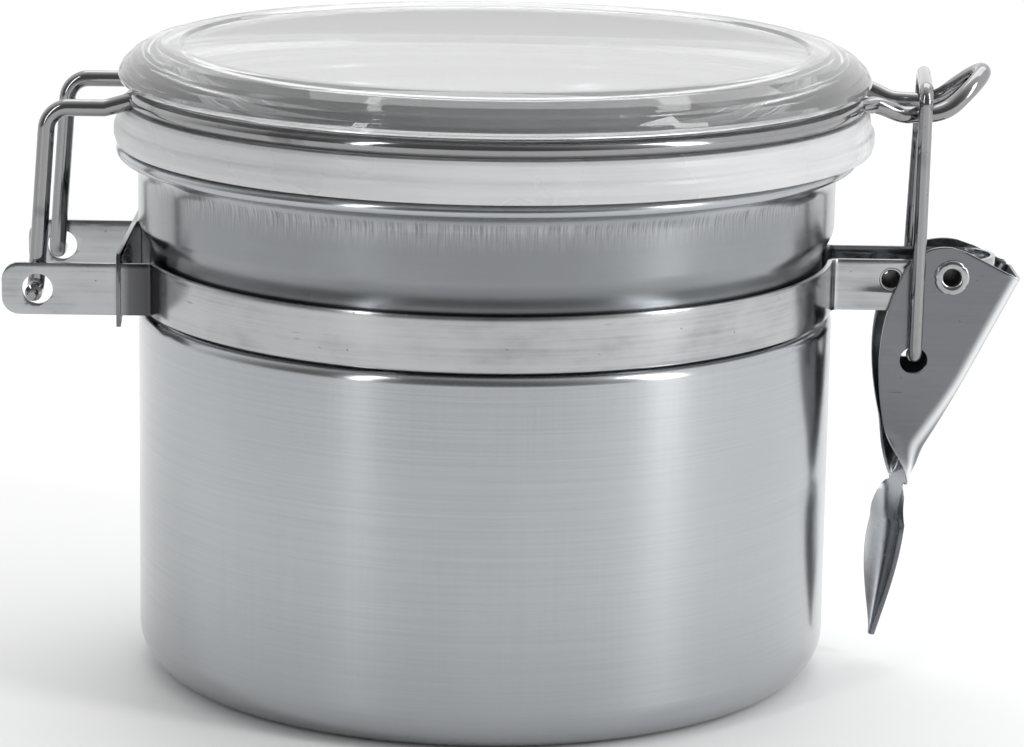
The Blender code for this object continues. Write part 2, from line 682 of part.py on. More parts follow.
def latch_bail(material, pivot):
    """Wire U: its ends turn in through the lever's cheeks and its crossbar lies over the hook loop."""
    corners = []
    for side in (-1, 1):
        foot = Vector((BAIL_PIVOT_X, side * BAIL_FOOT_Y, BAIL_PIVOT_Z))
        end = Vector((BAIL_PIVOT_X, side * BAIL_END_Y, BAIL_PIVOT_Z))
        top = Vector((BAIL_TOP_X + side * BAIL_SKEW, side * BAIL_TOP_Y, BAIL_TOP_Z))
        corners += [end, foot, top] if side < 0 else [top, foot, end]
    radii = (BAIL_FOOT_BEND, BAIL_TOP_BEND, BAIL_TOP_BEND, BAIL_FOOT_BEND)
    data = wire_curve("latch_bail", fillet_path(corners, radii), BAIL_RADIUS)
    add_object("latch_bail", data, material, pivot)


def main():
    """Builds the canister with its latch closed."""
    clear_scene()
    satin_steel = make_material("satin_steel", (0.55, 0.56, 0.57), 0.28, metallic=1.0)
    polished_steel = make_material("polished_steel", (0.62, 0.62, 0.63), 0.14, metallic=1.0)
    pressed_steel = make_material("pressed_steel", (0.42, 0.43, 0.45), 0.3, metallic=1.0)
    wire_steel = make_material("wire_steel", (0.5, 0.5, 0.51), 0.18, metallic=1.0)
    clear_plastic = make_material("clear_plastic", (0.95, 0.96, 0.97), 0.04, transmission=1.0)
    silicone = make_material("silicone", (0.85, 0.86, 0.87), 0.4, transmission=0.5)

    lid_hinge = empty_at("lid_hinge", (HINGE_X, 0, HINGE_Z))
    lever_hinge = empty_at("lever_hinge", (PIVOT_X, 0, PIVOT_Z))
    bail_hinge = empty_at("bail_hinge", (BAIL_PIVOT_X, 0, BAIL_PIVOT_Z))

    can_body(satin_steel)
    clamp_band(polished_steel)
    hinge_clip(pressed_steel)
    eyelet(
        "lug_eyelet",
        LUG_EYELET_X,
        LUG_EYELET_Z,
        LUG_Y + STRAP_THICKNESS / 2,
        LUG_EYELET_RADIUS,
        LUG_EYELET_HEAD,
        polished_steel,
    )
    eyelet(
        "pivot_eyelet",
        PIVOT_X,
        PIVOT_Z,
        LEVER_HALF_WIDTH,
        PIVOT_EYELET_RADIUS,
        PIVOT_EYELET_HEAD,
        polished_steel,
    )
    lid(clear_plastic, lid_hinge)
    gasket(silicone, lid_hinge)
    lid_wire(wire_steel, lid_hinge)
    latch_lever(pressed_steel, lever_hinge)
    latch_bail(wire_steel, bail_hinge)


if __name__ == "__main__":
    main()
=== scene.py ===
"""Finished look of a clamp-top food canister: drawn can, clear lid, soft seal and wire-and-lever latch.

Lengths are in metres. The origin is the middle of the can's base, +X points to the latch and +Z up.
"""

import logging
import math
from collections.abc import Sequence
from dataclasses import dataclass
from enum import Enum

import bmesh
import bpy
from mathutils import Matrix, Vector

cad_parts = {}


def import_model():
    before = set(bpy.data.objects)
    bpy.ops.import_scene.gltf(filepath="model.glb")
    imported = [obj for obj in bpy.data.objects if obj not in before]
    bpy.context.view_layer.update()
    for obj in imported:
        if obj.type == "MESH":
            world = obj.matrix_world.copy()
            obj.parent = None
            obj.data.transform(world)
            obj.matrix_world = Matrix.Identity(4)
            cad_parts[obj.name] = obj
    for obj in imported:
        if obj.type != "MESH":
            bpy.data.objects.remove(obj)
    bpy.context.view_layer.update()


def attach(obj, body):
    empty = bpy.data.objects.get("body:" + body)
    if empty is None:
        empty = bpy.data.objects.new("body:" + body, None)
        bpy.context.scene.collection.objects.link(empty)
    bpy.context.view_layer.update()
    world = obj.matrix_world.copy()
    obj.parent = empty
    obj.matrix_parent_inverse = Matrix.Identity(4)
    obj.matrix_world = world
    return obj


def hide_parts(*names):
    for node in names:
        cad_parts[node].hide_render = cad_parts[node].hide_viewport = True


LOG = logging.getLogger("canister")
MM = 0.001
# Vertex attribute that carries painted light: painted shade on the strap's bend and painted highlights on the
# lever.
PAINTED_LIGHT_ATTRIBUTE = "wear_and_painted_light"
SHARP_ANGLE = math.radians(38)
BEVEL_ANGLE = math.radians(50)
WIRE_SIDES = 24
BEND_STEPS = 14
HOLE_SIDES = 48
ROUNDING_STEPS = 4
Point = tuple[float, float]
Colour = tuple[float, float, float]
Socket = bpy.types.NodeSocket


class Body(Enum):
    """The rigid bodies that pieces ride on."""

    CAN = "can"
    LID = "lid"
    LEVER = "lever"
    BAIL = "bail"


class Grain(Enum):
    """Which way the fine lines of a metal's surface run."""

    ROUND = "round"
    UPRIGHT = "upright"
    ALONG_X = "along_x"


# ---------------------------------------------------------------- finishes


class Nodes:
    """Builds one material's node tree round its Principled shader."""

    def __init__(self, name: str) -> None:
        """Starts a material.

        Args:
            name: The material's name.
        """
        self.material = bpy.data.materials.new(name)
        self.material.use_nodes = True
        self.tree = self.material.node_tree
        self.shader = self.tree.nodes["Principled BSDF"]
        self.place = self.add("ShaderNodeTexCoord").outputs["Object"]

    def add(self, kind: str, **settings: object) -> bpy.types.Node:
        """Adds a node.

        Args:
            kind: The node's type name.
            **settings: Properties to set on it.

        Returns:
            The new node.
        """
        node = self.tree.nodes.new(kind)
        for key, value in settings.items():
            setattr(node, key, value)
        return node

    def link(self, start: Socket, end: Socket) -> None:
        """Joins two sockets."""
        self.tree.links.new(start, end)

    def set(self, **values: object) -> None:
        """Sets the shader's own sockets, with underscores for the spaces in their names."""
        for key, value in values.items():
            self.shader.inputs[key.replace("_", " ")].default_value = value

    def drive(self, name: str, value: Socket) -> None:
        """Links a value into one of the shader's sockets."""
        self.link(value, self.shader.inputs[name])

    def stretched(self, scale: Sequence[float], source: Socket | None = None) -> Socket:
        """The object's coordinates, or another vector, scaled by axis."""
        mapping = self.add("ShaderNodeMapping")
        mapping.inputs["Scale"].default_value = scale
        self.link(source or self.place, mapping.inputs["Vector"])
        return mapping.outputs["Vector"]

    def noise(self, where: Socket, detail: float = 2.0, rough: float = 0.5) -> Socket:
        """Smooth noise from 0 to 1.

        Args:
            where: Scaled coordinates, one cell per unit.
            detail: Octaves.
            rough: Weight of the finer octaves.

        Returns:
            The noise value.
        """
        node = self.add("ShaderNodeTexNoise")
        node.inputs["Scale"].default_value = 1.0
        node.inputs["Detail"].default_value = detail
        node.inputs["Roughness"].default_value = rough
        self.link(where, node.inputs["Vector"])
        return node.outputs["Fac"]

    def fit(self, value: Socket, low: float, high: float, out_low: float, out_high: float) -> Socket:
        """Maps a value's range to another with smooth ends.

        Args:
            value: The value to map.
            low: Where the input range starts.
            high: Where the input range ends.
            out_low: The output at the start.
            out_high: The output at the end.

        Returns:
            The mapped value.
        """
        node = self.add("ShaderNodeMapRange", interpolation_type="SMOOTHSTEP")
        self.link(value, node.inputs["Value"])
        sockets = ("From Min", "From Max", "To Min", "To Max")
        for socket, number in zip(sockets, (low, high, out_low, out_high)):
            node.inputs[socket].default_value = number
        return node.outputs["Result"]

    def math(self, operation: str, first: Socket, second: Socket | float) -> Socket:
        """One arithmetic step on a value.

        Args:
            operation: The Math node's operation.
            first: The left value.
            second: The right value, linked or constant.

        Returns:
            The result.
        """
        node = self.add("ShaderNodeMath", operation=operation)
        self.link(first, node.inputs[0])
        if isinstance(second, (int, float)):
            node.inputs[1].default_value = second
        else:
            self.link(second, node.inputs[1])
        return node.outputs["Value"]

    def blend(self, share: Socket, first: Colour, second: Colour) -> Socket:
        """A colour between two."""
        node = self.add("ShaderNodeMix", data_type="RGBA")
        self.link(share, node.inputs["Factor"])
        node.inputs[6].default_value = (*first, 1.0)
        node.inputs[7].default_value = (*second, 1.0)
        return node.outputs[2]

    def mixed(self, share: Socket, first: Socket, second: Colour) -> Socket:
        """A colour between a linked one and a plain one."""
        node = self.add("ShaderNodeMix", data_type="RGBA")
        self.link(share, node.inputs["Factor"])
        self.link(first, node.inputs[6])
        node.inputs[7].default_value = (*second, 1.0)
        return node.outputs[2]

    def bump(self, height: Socket, depth: float, strength: float, below: Socket | None = None) -> Socket:
        """A bumped normal.

        Args:
            height: Surface height from 0 to 1.
            depth: The height's real size in metres.
            strength: How much of the bump shows.
            below: A normal that this bump lies on.

        Returns:
            The normal.
        """
        node = self.add("ShaderNodeBump")
        node.inputs["Distance"].default_value = depth
        node.inputs["Strength"].default_value = strength
        self.link(height, node.inputs["Height"])
        if below is not None:
            self.link(below, node.inputs["Normal"])
        return node.outputs["Normal"]

    def axis(self, letter: str) -> Socket:
        """One coordinate of the object's space."""
        node = self.add("ShaderNodeSeparateXYZ")
        self.link(self.place, node.inputs["Vector"])
        return node.outputs[letter]

    def unrolled(self, scale_round: float, scale_up: float) -> Socket:
        """Coordinates on the unrolled wall of the can.

        Args:
            scale_round: Cells per radian round the axis.
            scale_up: Cells per metre up the axis.

        Returns:
            The vector.
        """
        turn = self.math("ARCTAN2", self.axis("Y"), self.axis("X"))
        node = self.add("ShaderNodeCombineXYZ")
        self.link(self.math("MULTIPLY", turn, scale_round), node.inputs["X"])
        self.link(self.math("MULTIPLY", self.axis("Z"), scale_up), node.inputs["Y"])
        return node.outputs["Vector"]


def grained(nodes: Nodes, grain: Grain, fine: float, coarse: float) -> Socket:
    """Fine noise drawn out along a metal's grain.

    Args:
        nodes: The material being built.
        grain: Which way the lines run.
        fine: Cells per metre across the lines.
        coarse: Cells per metre along them.

    Returns:
        The noise value.
    """
    scales = {
        Grain.ROUND: (coarse, coarse, fine),
        Grain.UPRIGHT: (fine, fine, coarse),
        Grain.ALONG_X: (coarse, fine, fine),
    }
    return nodes.noise(nodes.stretched(scales[grain]), detail=3.0, rough=0.6)


@dataclass(frozen=True)
class DrawnSteel:
    """Satin wall of a deep-drawn can, with round polishing lines, upright die marks below the rim and painted
    shade over the neck and band groove.
    """

    light: Colour = (0.455, 0.47, 0.485)
    dark: Colour = (0.405, 0.42, 0.435)
    # Colour of the painted shade over the neck and band groove.
    neck: Colour = (0.24, 0.25, 0.26)
    neck_shade_range: tuple[float, float, float, float] = (66.0 * MM, 72.0 * MM, 86.0 * MM, 93.0 * MM)
    roughness: float = 0.21
    anisotropy: float = 0.62
    scored: Colour = (0.1, 0.1, 0.105)
    marks_from: float = 85.5 * MM
    marks_to: float = 91.2 * MM
    marks_end: float = 92.2 * MM

    def material(self) -> bpy.types.Material:
        """Builds the material."""
        nodes = Nodes("drawn_steel")
        nodes.set(Metallic=1.0, Anisotropic=self.anisotropy, Anisotropic_Rotation=0.25)
        lines = grained(nodes, Grain.ROUND, 3400.0, 20.0)
        cloud = nodes.noise(nodes.stretched((26.0, 26.0, 18.0)), detail=4.0)
        upright = nodes.noise(nodes.unrolled(170.0, 22.0), detail=3.0, rough=0.6)
        height = nodes.axis("Z")
        low = nodes.fit(height, self.marks_from, self.marks_to, 0.0, 1.0)
        high = nodes.fit(height, self.marks_to, self.marks_end, 1.0, 0.0)
        scores = nodes.noise(nodes.unrolled(150.0, 90.0), detail=4.0, rough=0.7)
        scores = nodes.fit(scores, 0.35, 0.7, 0.0, 1.0)
        marks = nodes.math("MULTIPLY", nodes.math("MULTIPLY", low, high), scores)
        tone = nodes.math("ADD", nodes.math("MULTIPLY", lines, 0.45), nodes.math("MULTIPLY", cloud, 0.35))
        tone = nodes.math("ADD", tone, nodes.math("MULTIPLY", upright, 0.2))
        wall = nodes.blend(nodes.fit(tone, 0.3, 0.7, 0.0, 1.0), self.dark, self.light)
        # Painted shade: the wall darkens towards the neck colour over the groove and neck, varied by cloud
        # noise. It stands in for the dark reflections of that concave zone.
        start, full, fade, end = self.neck_shade_range
        rise, fall = nodes.fit(height, start, full, 0.0, 1.0), nodes.fit(height, fade, end, 1.0, 0.0)
        neck_shade = nodes.math("MULTIPLY", rise, fall)
        mottle = nodes.fit(cloud, 0.35, 0.65, 0.75, 1.0)
        wall = nodes.mixed(nodes.math("MULTIPLY", neck_shade, mottle), wall, self.neck)
        nodes.drive("Base Color", nodes.mixed(nodes.math("MULTIPLY", marks, 0.75), wall, self.scored))
        nodes.drive("Roughness", nodes.fit(tone, 0.3, 0.7, self.roughness + 0.03, self.roughness - 0.03))
        normal = nodes.bump(lines, 0.002 * MM, 0.15)
        normal = nodes.bump(upright, 0.006 * MM, 0.12, normal)
        normal = nodes.bump(marks, 0.06 * MM, -0.7, normal)
        nodes.drive("Normal", normal)
        around = nodes.add("ShaderNodeTangent", direction_type="RADIAL", axis="Z")
        nodes.drive("Tangent", around.outputs["Tangent"])
        return nodes.material


@dataclass(frozen=True)
class StripSteel:
    """Bright rolled strip or pressed sheet: fine lengthwise lines, handling scratches and specks, with
    optional painted light from a vertex mask.
    """

    name: str
    light: Colour
    dark: Colour
    roughness: float
    grain: Grain
    painted_light_tone: Colour | None = None
    metal: float = 1.0
    scratch_depth: float = 0.02 * MM

    def material(self) -> bpy.types.Material:
        """Builds the material."""
        nodes = Nodes(self.name)
        nodes.set(Metallic=self.metal)
        lines = grained(nodes, self.grain, 1900.0, 24.0)
        smudge = nodes.noise(nodes.stretched((90.0, 90.0, 150.0)), detail=5.0, rough=0.62)
        scratch = grained(nodes, self.grain, 900.0, 60.0)
        scratch = nodes.fit(scratch, 0.64, 0.7, 0.0, 1.0)
        speck = nodes.noise(nodes.stretched((900.0, 900.0, 900.0)), detail=1.0)
        speck = nodes.fit(speck, 0.76, 0.82, 0.0, 1.0)
        rubbed_places = nodes.fit(smudge, 0.5, 0.66, 0.0, 1.0)
        # Real handling scratches and specks. The painted light comes from the vertex attribute further down.
        wear_and_painted_light = nodes.math("MAXIMUM", nodes.math("MULTIPLY", scratch, rubbed_places), speck)
        tone = nodes.math("ADD", nodes.math("MULTIPLY", lines, 0.4), nodes.math("MULTIPLY", smudge, 0.6))
        tone = nodes.fit(tone, 0.2, 0.7, 0.35, 1.0)
        tone = nodes.math("SUBTRACT", tone, nodes.math("MULTIPLY", wear_and_painted_light, 0.6))
        colour = nodes.blend(nodes.fit(tone, 0.0, 1.0, 0.0, 1.0), self.dark, self.light)
        # Painted light: a per-vertex mask mixes in a flat colour. It is near-black for painted shade on the
        # strap's bend and pale for painted highlights on the lever.
        if self.painted_light_tone:
            painted_light = nodes.add("ShaderNodeAttribute", attribute_name=PAINTED_LIGHT_ATTRIBUTE)
            colour = nodes.mixed(painted_light.outputs["Fac"], colour, self.painted_light_tone)
        nodes.drive("Base Color", colour)
        rough = nodes.fit(smudge, 0.3, 0.7, self.roughness * 0.85, self.roughness * 1.2)
        nodes.drive("Roughness", nodes.math("ADD", rough, nodes.math("MULTIPLY", wear_and_painted_light, 0.18)))
        normal = nodes.bump(lines, 0.004 * MM, 0.6)
        nodes.drive("Normal", nodes.bump(wear_and_painted_light, self.scratch_depth, -0.5, normal))
        return nodes.material


@dataclass(frozen=True)
class WireSteel:
    """Drawn and polished wire, with faint draw lines and dull spots where it was bent."""

    light: Colour = (0.3, 0.3, 0.305)
    dark: Colour = (0.14, 0.14, 0.145)
    roughness: float = 0.11

    def material(self) -> bpy.types.Material:
        """Builds the material."""
        nodes = Nodes("wire_steel")
        nodes.set(Metallic=1.0)
        spots = nodes.noise(nodes.stretched((420.0, 420.0, 420.0)), detail=4.0, rough=0.7)
        cloud = nodes.noise(nodes.stretched((90.0, 90.0, 90.0)), detail=3.0)
        tone = nodes.fit(nodes.math("MINIMUM", spots, cloud), 0.24, 0.4, 0.0, 1.0)
        nodes.drive("Base Color", nodes.blend(tone, self.dark, self.light))
        nodes.drive("Roughness", nodes.fit(tone, 0.0, 1.0, self.roughness + 0.14, self.roughness))
        nodes.drive("Normal", nodes.bump(spots, 0.012 * MM, 0.35))
        return nodes.material


@dataclass(frozen=True)
class ClearPlastic:
    """Clear moulded acrylic with faint flow waves and a few hairline scratches."""

    colour: Colour = (0.95, 0.955, 0.96)
    clarity: float = 0.9
    haze: float = 0.02
    index: float = 1.49

    def material(self) -> bpy.types.Material:
        """Builds the material."""
        nodes = Nodes("clear_plastic")
        nodes.set(Transmission_Weight=self.clarity, IOR=self.index)
        nodes.set(Base_Color=(*self.colour, 1.0))
        waves = nodes.noise(nodes.stretched((42.0, 42.0, 42.0)), detail=2.0)
        scratch = nodes.noise(nodes.stretched((30.0, 1400.0, 1400.0)), detail=2.0)
        scratch = nodes.fit(scratch, 0.7, 0.74, 0.0, 1.0)
        nodes.drive("Roughness", nodes.fit(scratch, 0.0, 1.0, self.haze, self.haze + 0.2))
        normal = nodes.bump(waves, 0.05 * MM, 0.1)
        nodes.drive("Normal", nodes.bump(scratch, 0.01 * MM, -0.4, normal))
        return nodes.material


@dataclass(frozen=True)
class Silicone:
    """Milky see-through silicone with a soft sheen and fine flow lines round the ring."""

    pale: Colour = (0.74, 0.745, 0.755)
    milky: Colour = (0.66, 0.665, 0.675)
    transmission: float = 0.12
    roughness: float = 0.24
    index: float = 1.41

    def material(self) -> bpy.types.Material:
        """Builds the material."""
        nodes = Nodes("silicone")
        nodes.set(Transmission_Weight=self.transmission, IOR=self.index)
        cloud = nodes.noise(nodes.stretched((45.0, 45.0, 45.0)), detail=2.0)
        flow = grained(nodes, Grain.ROUND, 1100.0, 22.0)
        tone = nodes.math("ADD", nodes.math("MULTIPLY", cloud, 0.5), nodes.math("MULTIPLY", flow, 0.5))
        tone = nodes.fit(tone, 0.35, 0.65, 0.0, 1.0)
        nodes.drive("Base Color", nodes.blend(tone, self.milky, self.pale))
        nodes.drive("Roughness", nodes.fit(cloud, 0.3, 0.7, self.roughness, self.roughness + 0.12))
        nodes.drive("Normal", nodes.bump(flow, 0.004 * MM, 0.3))
        return nodes.material


# ---------------------------------------------------------------- mesh steps


def arc(centre: Point, radius: float, start: float, end: float, steps: int) -> list[Point]:
    """Points of an arc, both ends included.

    Args:
        centre: The arc's centre.
        radius: Its radius.
        start: Its first angle in degrees.
        end: Its last angle in degrees.
        steps: How many chords it has.

    Returns:
        The points.
    """
    angles = [math.radians(start + (end - start) * i / steps) for i in range(steps + 1)]
    return [(centre[0] + radius * math.cos(a), centre[1] + radius * math.sin(a)) for a in angles]


def eased(share: float) -> float:
    """A smooth rise from 0 to 1 as the share goes from 0 to 1, level outside that range."""
    share = min(1.0, max(0.0, share))
    return share * share * (3 - 2 * share)


def softened(corners: Sequence[Point], radius: float) -> list[Point]:
    """Rounds every corner of a closed outline, less where its sides are short.

    Args:
        corners: The outline's corners.
        radius: The largest rounding radius.

    Returns:
        The rounded outline.
    """
    points: list[Point] = []
    count = len(corners)
    for i in range(count):
        before, corner, after = (Vector(corners[(i + k) % count]) for k in (-1, 0, 1))
        if corner.x < 1e-9:
            points.append(tuple(corner))
            continue
        inward, outward = before - corner, after - corner
        half = inward.angle(outward) / 2
        reach = min(radius / math.tan(max(half, 0.05)), 0.45 * inward.length, 0.45 * outward.length)
        first = corner + inward.normalized() * reach
        last = corner + outward.normalized() * reach
        for k in range(ROUNDING_STEPS + 1):
            t = k / ROUNDING_STEPS
            point = first * (1 - t) ** 2 + corner * 2 * t * (1 - t) + last * t**2
            points.append((point.x, point.y))
    return points


def turned(outline: Sequence[Point], steps: int, shift: float = 0.0) -> bmesh.types.BMesh:
    """Spins a closed outline round the upright axis.

    Args:
        outline: Its (radius, height) points.
        steps: How many steps a full turn has.
        shift: How far the axis stands from the origin along X.

    Returns:
        The closed solid.
    """
    bm = bmesh.new()
    points = [bm.verts.new((radius, 0.0, height)) for radius, height in outline]
    edges = [bm.edges.new(pair) for pair in zip(points, points[1:] + points[:1])]
    turn = {"axis": (0, 0, 1), "cent": (0, 0, 0), "angle": math.tau, "steps": steps, "use_merge": True}
    bmesh.ops.spin(bm, geom=points + edges, **turn)
    bmesh.ops.remove_doubles(bm, verts=bm.verts, dist=1e-7)
    bmesh.ops.dissolve_degenerate(bm, edges=bm.edges, dist=1e-7)
    bmesh.ops.recalc_face_normals(bm, faces=bm.faces)
    bmesh.ops.translate(bm, vec=(shift, 0, 0), verts=bm.verts)
    return bm


def swept(path: Sequence[Vector], radius: float, shares: Sequence[float]) -> bmesh.types.BMesh:
    """A round wire along a path, by extruding a circle from point to point.

    Args:
        path: The wire's middle line.
        radius: Its radius.
        shares: What share of the radius it has at each point.

    Returns:
        The closed wire.
    """
    bm = bmesh.new()
    bmesh.ops.create_circle(bm, cap_ends=True, radius=radius, segments=WIRE_SIDES)
    last = len(path) - 1
    tangents = [(path[min(i + 1, last)] - path[max(i - 1, 0)]).normalized() for i in range(last + 1)]
    turn = Vector((0, 0, 1)).rotation_difference(tangents[0]).to_matrix().to_4x4()
    frames = []
    for i, (point, tangent) in enumerate(zip(path, tangents)):
        if i:
            turn = tangents[i - 1].rotation_difference(tangent).to_matrix().to_4x4() @ turn
        frames.append(Matrix.Translation(point) @ turn @ Matrix.Scale(shares[i], 4))
    bmesh.ops.transform(bm, matrix=frames[0], verts=bm.verts)
    ring = list(bm.edges)
    for before, after in zip(frames, frames[1:]):
        made = bmesh.ops.extrude_edge_only(bm, edges=ring)["geom"]
        ring = [part for part in made if isinstance(part, bmesh.types.BMEdge)]
        ends = [part for part in made if isinstance(part, bmesh.types.BMVert)]
        bmesh.ops.transform(bm, matrix=after @ before.inverted(), verts=ends)
    bmesh.ops.contextual_create(bm, geom=ring)
    bmesh.ops.recalc_face_normals(bm, faces=bm.faces)
    return bm


def rounded_path(corners: Sequence[Vector], radii: Sequence[float]) -> list[Vector]:
    """Replaces each inner corner of a path with an arc of its own radius.

    Args:
        corners: The path's ends and corners.
        radii: One radius for each inner corner.

    Returns:
        The path's points.
    """
    path = [corners[0]]
    for before, corner, after, radius in zip(corners, corners[1:], corners[2:], radii):
        inward, outward = (before - corner).normalized(), (after - corner).normalized()
        half = inward.angle(outward) / 2
        reach = radius / math.tan(half)
        centre = corner + (inward + outward).normalized() * radius / math.sin(half)
        start, end = corner + inward * reach - centre, corner + outward * reach - centre
        turn = start.angle(end)
        for i in range(BEND_STEPS + 1):
            share = i / BEND_STEPS
            spoke = start * math.sin((1 - share) * turn) + end * math.sin(share * turn)
            path.append(centre + spoke / math.sin(turn))
    path.append(corners[-1])
    return path


def smoothed(mesh: bpy.types.Mesh) -> None:
    """Shades a mesh smooth, apart from its sharp edges."""
    mesh.shade_smooth()
    mesh.set_sharp_from_angle(angle=SHARP_ANGLE)


def in_scene(name: str, bm: bmesh.types.BMesh) -> bpy.types.Object:
    """Turns a bmesh into a smooth-shaded object at the origin.

    Args:
        name: The object's name.
        bm: The bmesh, which is freed.

    Returns:
        The object.
    """
    mesh = bpy.data.meshes.new(name)
    bm.to_mesh(mesh)
    bm.free()
    smoothed(mesh)
    obj = bpy.data.objects.new(name, mesh)
    bpy.context.scene.collection.objects.link(obj)
    return obj


def drill(name: str, place: Point, radius: float, reach: float) -> bpy.types.Object:
    """A cutter for a round hole along Y.

    Args:
        name: The cutter's name.
        place: The hole's (x, z).
        radius: Its radius.
        reach: How far it goes to each side of the middle.

    Returns:
        The cutter.
    """
    bm = bmesh.new()
    ends = {"radius1": radius, "radius2": radius, "depth": 2 * reach}
    bmesh.ops.create_cone(bm, cap_ends=True, segments=HOLE_SIDES, **ends)
    bmesh.ops.rotate(bm, cent=(0, 0, 0), matrix=Matrix.Rotation(math.pi / 2, 3, "X"), verts=bm.verts)
    bmesh.ops.translate(bm, vec=(place[0], 0, place[1]), verts=bm.verts)
    return in_scene(name, bm)


def slot_block(name: str, low: Vector, high: Vector) -> bpy.types.Object:
    """A cutter for a slot between two corners."""
    bm = bmesh.new()
    bmesh.ops.create_cube(bm, size=1.0)
    bmesh.ops.scale(bm, vec=high - low, verts=bm.verts)
    bmesh.ops.translate(bm, vec=(low + high) / 2, verts=bm.verts)
    return in_scene(name, bm)


def finished(
    obj: bpy.types.Object,
    cutters: Sequence[bpy.types.Object] = (),
    thickness: float = 0.0,
    edge: float = 0.0,
) -> bpy.types.Object:
    """Gives a sheet its thickness, cuts its holes, rounds its edges and keeps the result as its mesh.

    Args:
        obj: The piece.
        cutters: Cutters to take out of it, which are then removed.
        thickness: The sheet's thickness, behind its faces.
        edge: The width of its rounded edges.

    Returns:
        The piece.
    """
    if thickness:
        sheet = obj.modifiers.new("sheet", "SOLIDIFY")
        sheet.thickness, sheet.offset, sheet.use_even_offset = thickness, -1.0, True
    for cutter in cutters:
        hole = obj.modifiers.new(cutter.name, "BOOLEAN")
        hole.operation, hole.solver, hole.object = "DIFFERENCE", "EXACT", cutter
    if edge:
        bevel = obj.modifiers.new("edge", "BEVEL")
        bevel.width, bevel.segments, bevel.limit_method = edge, 2, "ANGLE"
        bevel.angle_limit = BEVEL_ANGLE
    bpy.context.view_layer.update()
    graph = bpy.context.evaluated_depsgraph_get()
    mesh = bpy.data.meshes.new_from_object(obj.evaluated_get(graph))
    obj.modifiers.clear()
    obj.data = mesh
    for cutter in cutters:
        bpy.data.objects.remove(cutter, do_unlink=True)
    smoothed(mesh)
    return obj


def dress(obj: bpy.types.Object, finish: bpy.types.Material, slot: str, body: Body, *nodes: str) -> None:
    """Gives a piece its finish and puts it in the place of its CAD nodes.

    Args:
        obj: The piece.
        finish: Its material.
        slot: The record's material slot; not used.
        body: The body that it rides on.
        *nodes: The CAD nodes that it stands for.
    """
    obj.data.materials.clear()
    obj.data.materials.append(finish)
    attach(obj, body.value)
    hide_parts(*nodes)
    LOG.info("%s: %d faces on %s", obj.name, len(obj.data.polygons), body.value)


# ---------------------------------------------------------------- the can


@dataclass
class Can:
    """The drawn can: rounded bottom, band groove, neck and curled rim."""

    radius: float = 62.5 * MM
    wall: float = 0.8 * MM
    corner: float = 7.5 * MM
    groove_depth: float = 2.0 * MM
    shoulder_z: float = 64.2 * MM
    shoulder_radius: float = 2.0 * MM
    flare_z: float = 76.6 * MM
    flare_height: float = 5.6 * MM
    fillet_z: float = 89.8 * MM
    fillet_radius: float = 3.8 * MM
    outer_sweep: float = 72.0
    inner_sweep: float = 48.0
    curl_radius: float = 1.1 * MM
    curl_centre: Point = (65.3 * MM, 94.3 * MM)
    foot_recess: float = 0.4 * MM
    foot_radius: float = 50.0 * MM
    turns: int = 240

    def side(self, inset: float, sweep: float) -> list[Point]:
        """One face of the wall, from the base up to the rim's fillet.

        Args:
            inset: How far it lies inside the outer face.
            sweep: How many degrees the rim's fillet turns.

        Returns:
            Its (radius, height) points.
        """
        radius = self.radius - inset
        floor = radius - self.groove_depth
        points = arc((self.radius - self.corner, self.corner), self.corner - inset, -90, 0, 16)
        points += arc((floor, self.shoulder_z), self.shoulder_radius, 0, 90, 9)
        steps = 14
        for i in range(steps + 1):
            rise = (1 - math.cos(math.pi * i / steps)) / 2
            height = self.flare_z + self.flare_height * i / steps
            points.append((floor + self.groove_depth * rise, height))
        centre = (self.radius + self.fillet_radius, self.fillet_z)
        return points + arc(centre, self.fillet_radius + inset, 180, 180 - sweep, 9)

    def outline(self) -> list[Point]:
        """The wall's whole closed outline, with a shallow recess under the base."""
        recess = arc((self.foot_radius, 0.0), self.foot_recess, 180, 90, 4)
        foot = [(0.0, self.foot_recess)] + [(r + self.foot_recess, z) for r, z in reversed(recess)]
        curl = arc(self.curl_centre, self.curl_radius, -75, 160, 20)
        inner = self.side(self.wall, self.inner_sweep)[::-1]
        return foot + self.side(0.0, self.outer_sweep) + curl + inner + [(0.0, self.wall)]

    def build(self) -> None:
        """Makes and dresses the can."""
        body = in_scene("can_shell", turned(self.outline(), self.turns))
        dress(body, DrawnSteel().material(), "satin_steel", Body.CAN, "can_body")


# ---------------------------------------------------------------- the clamp


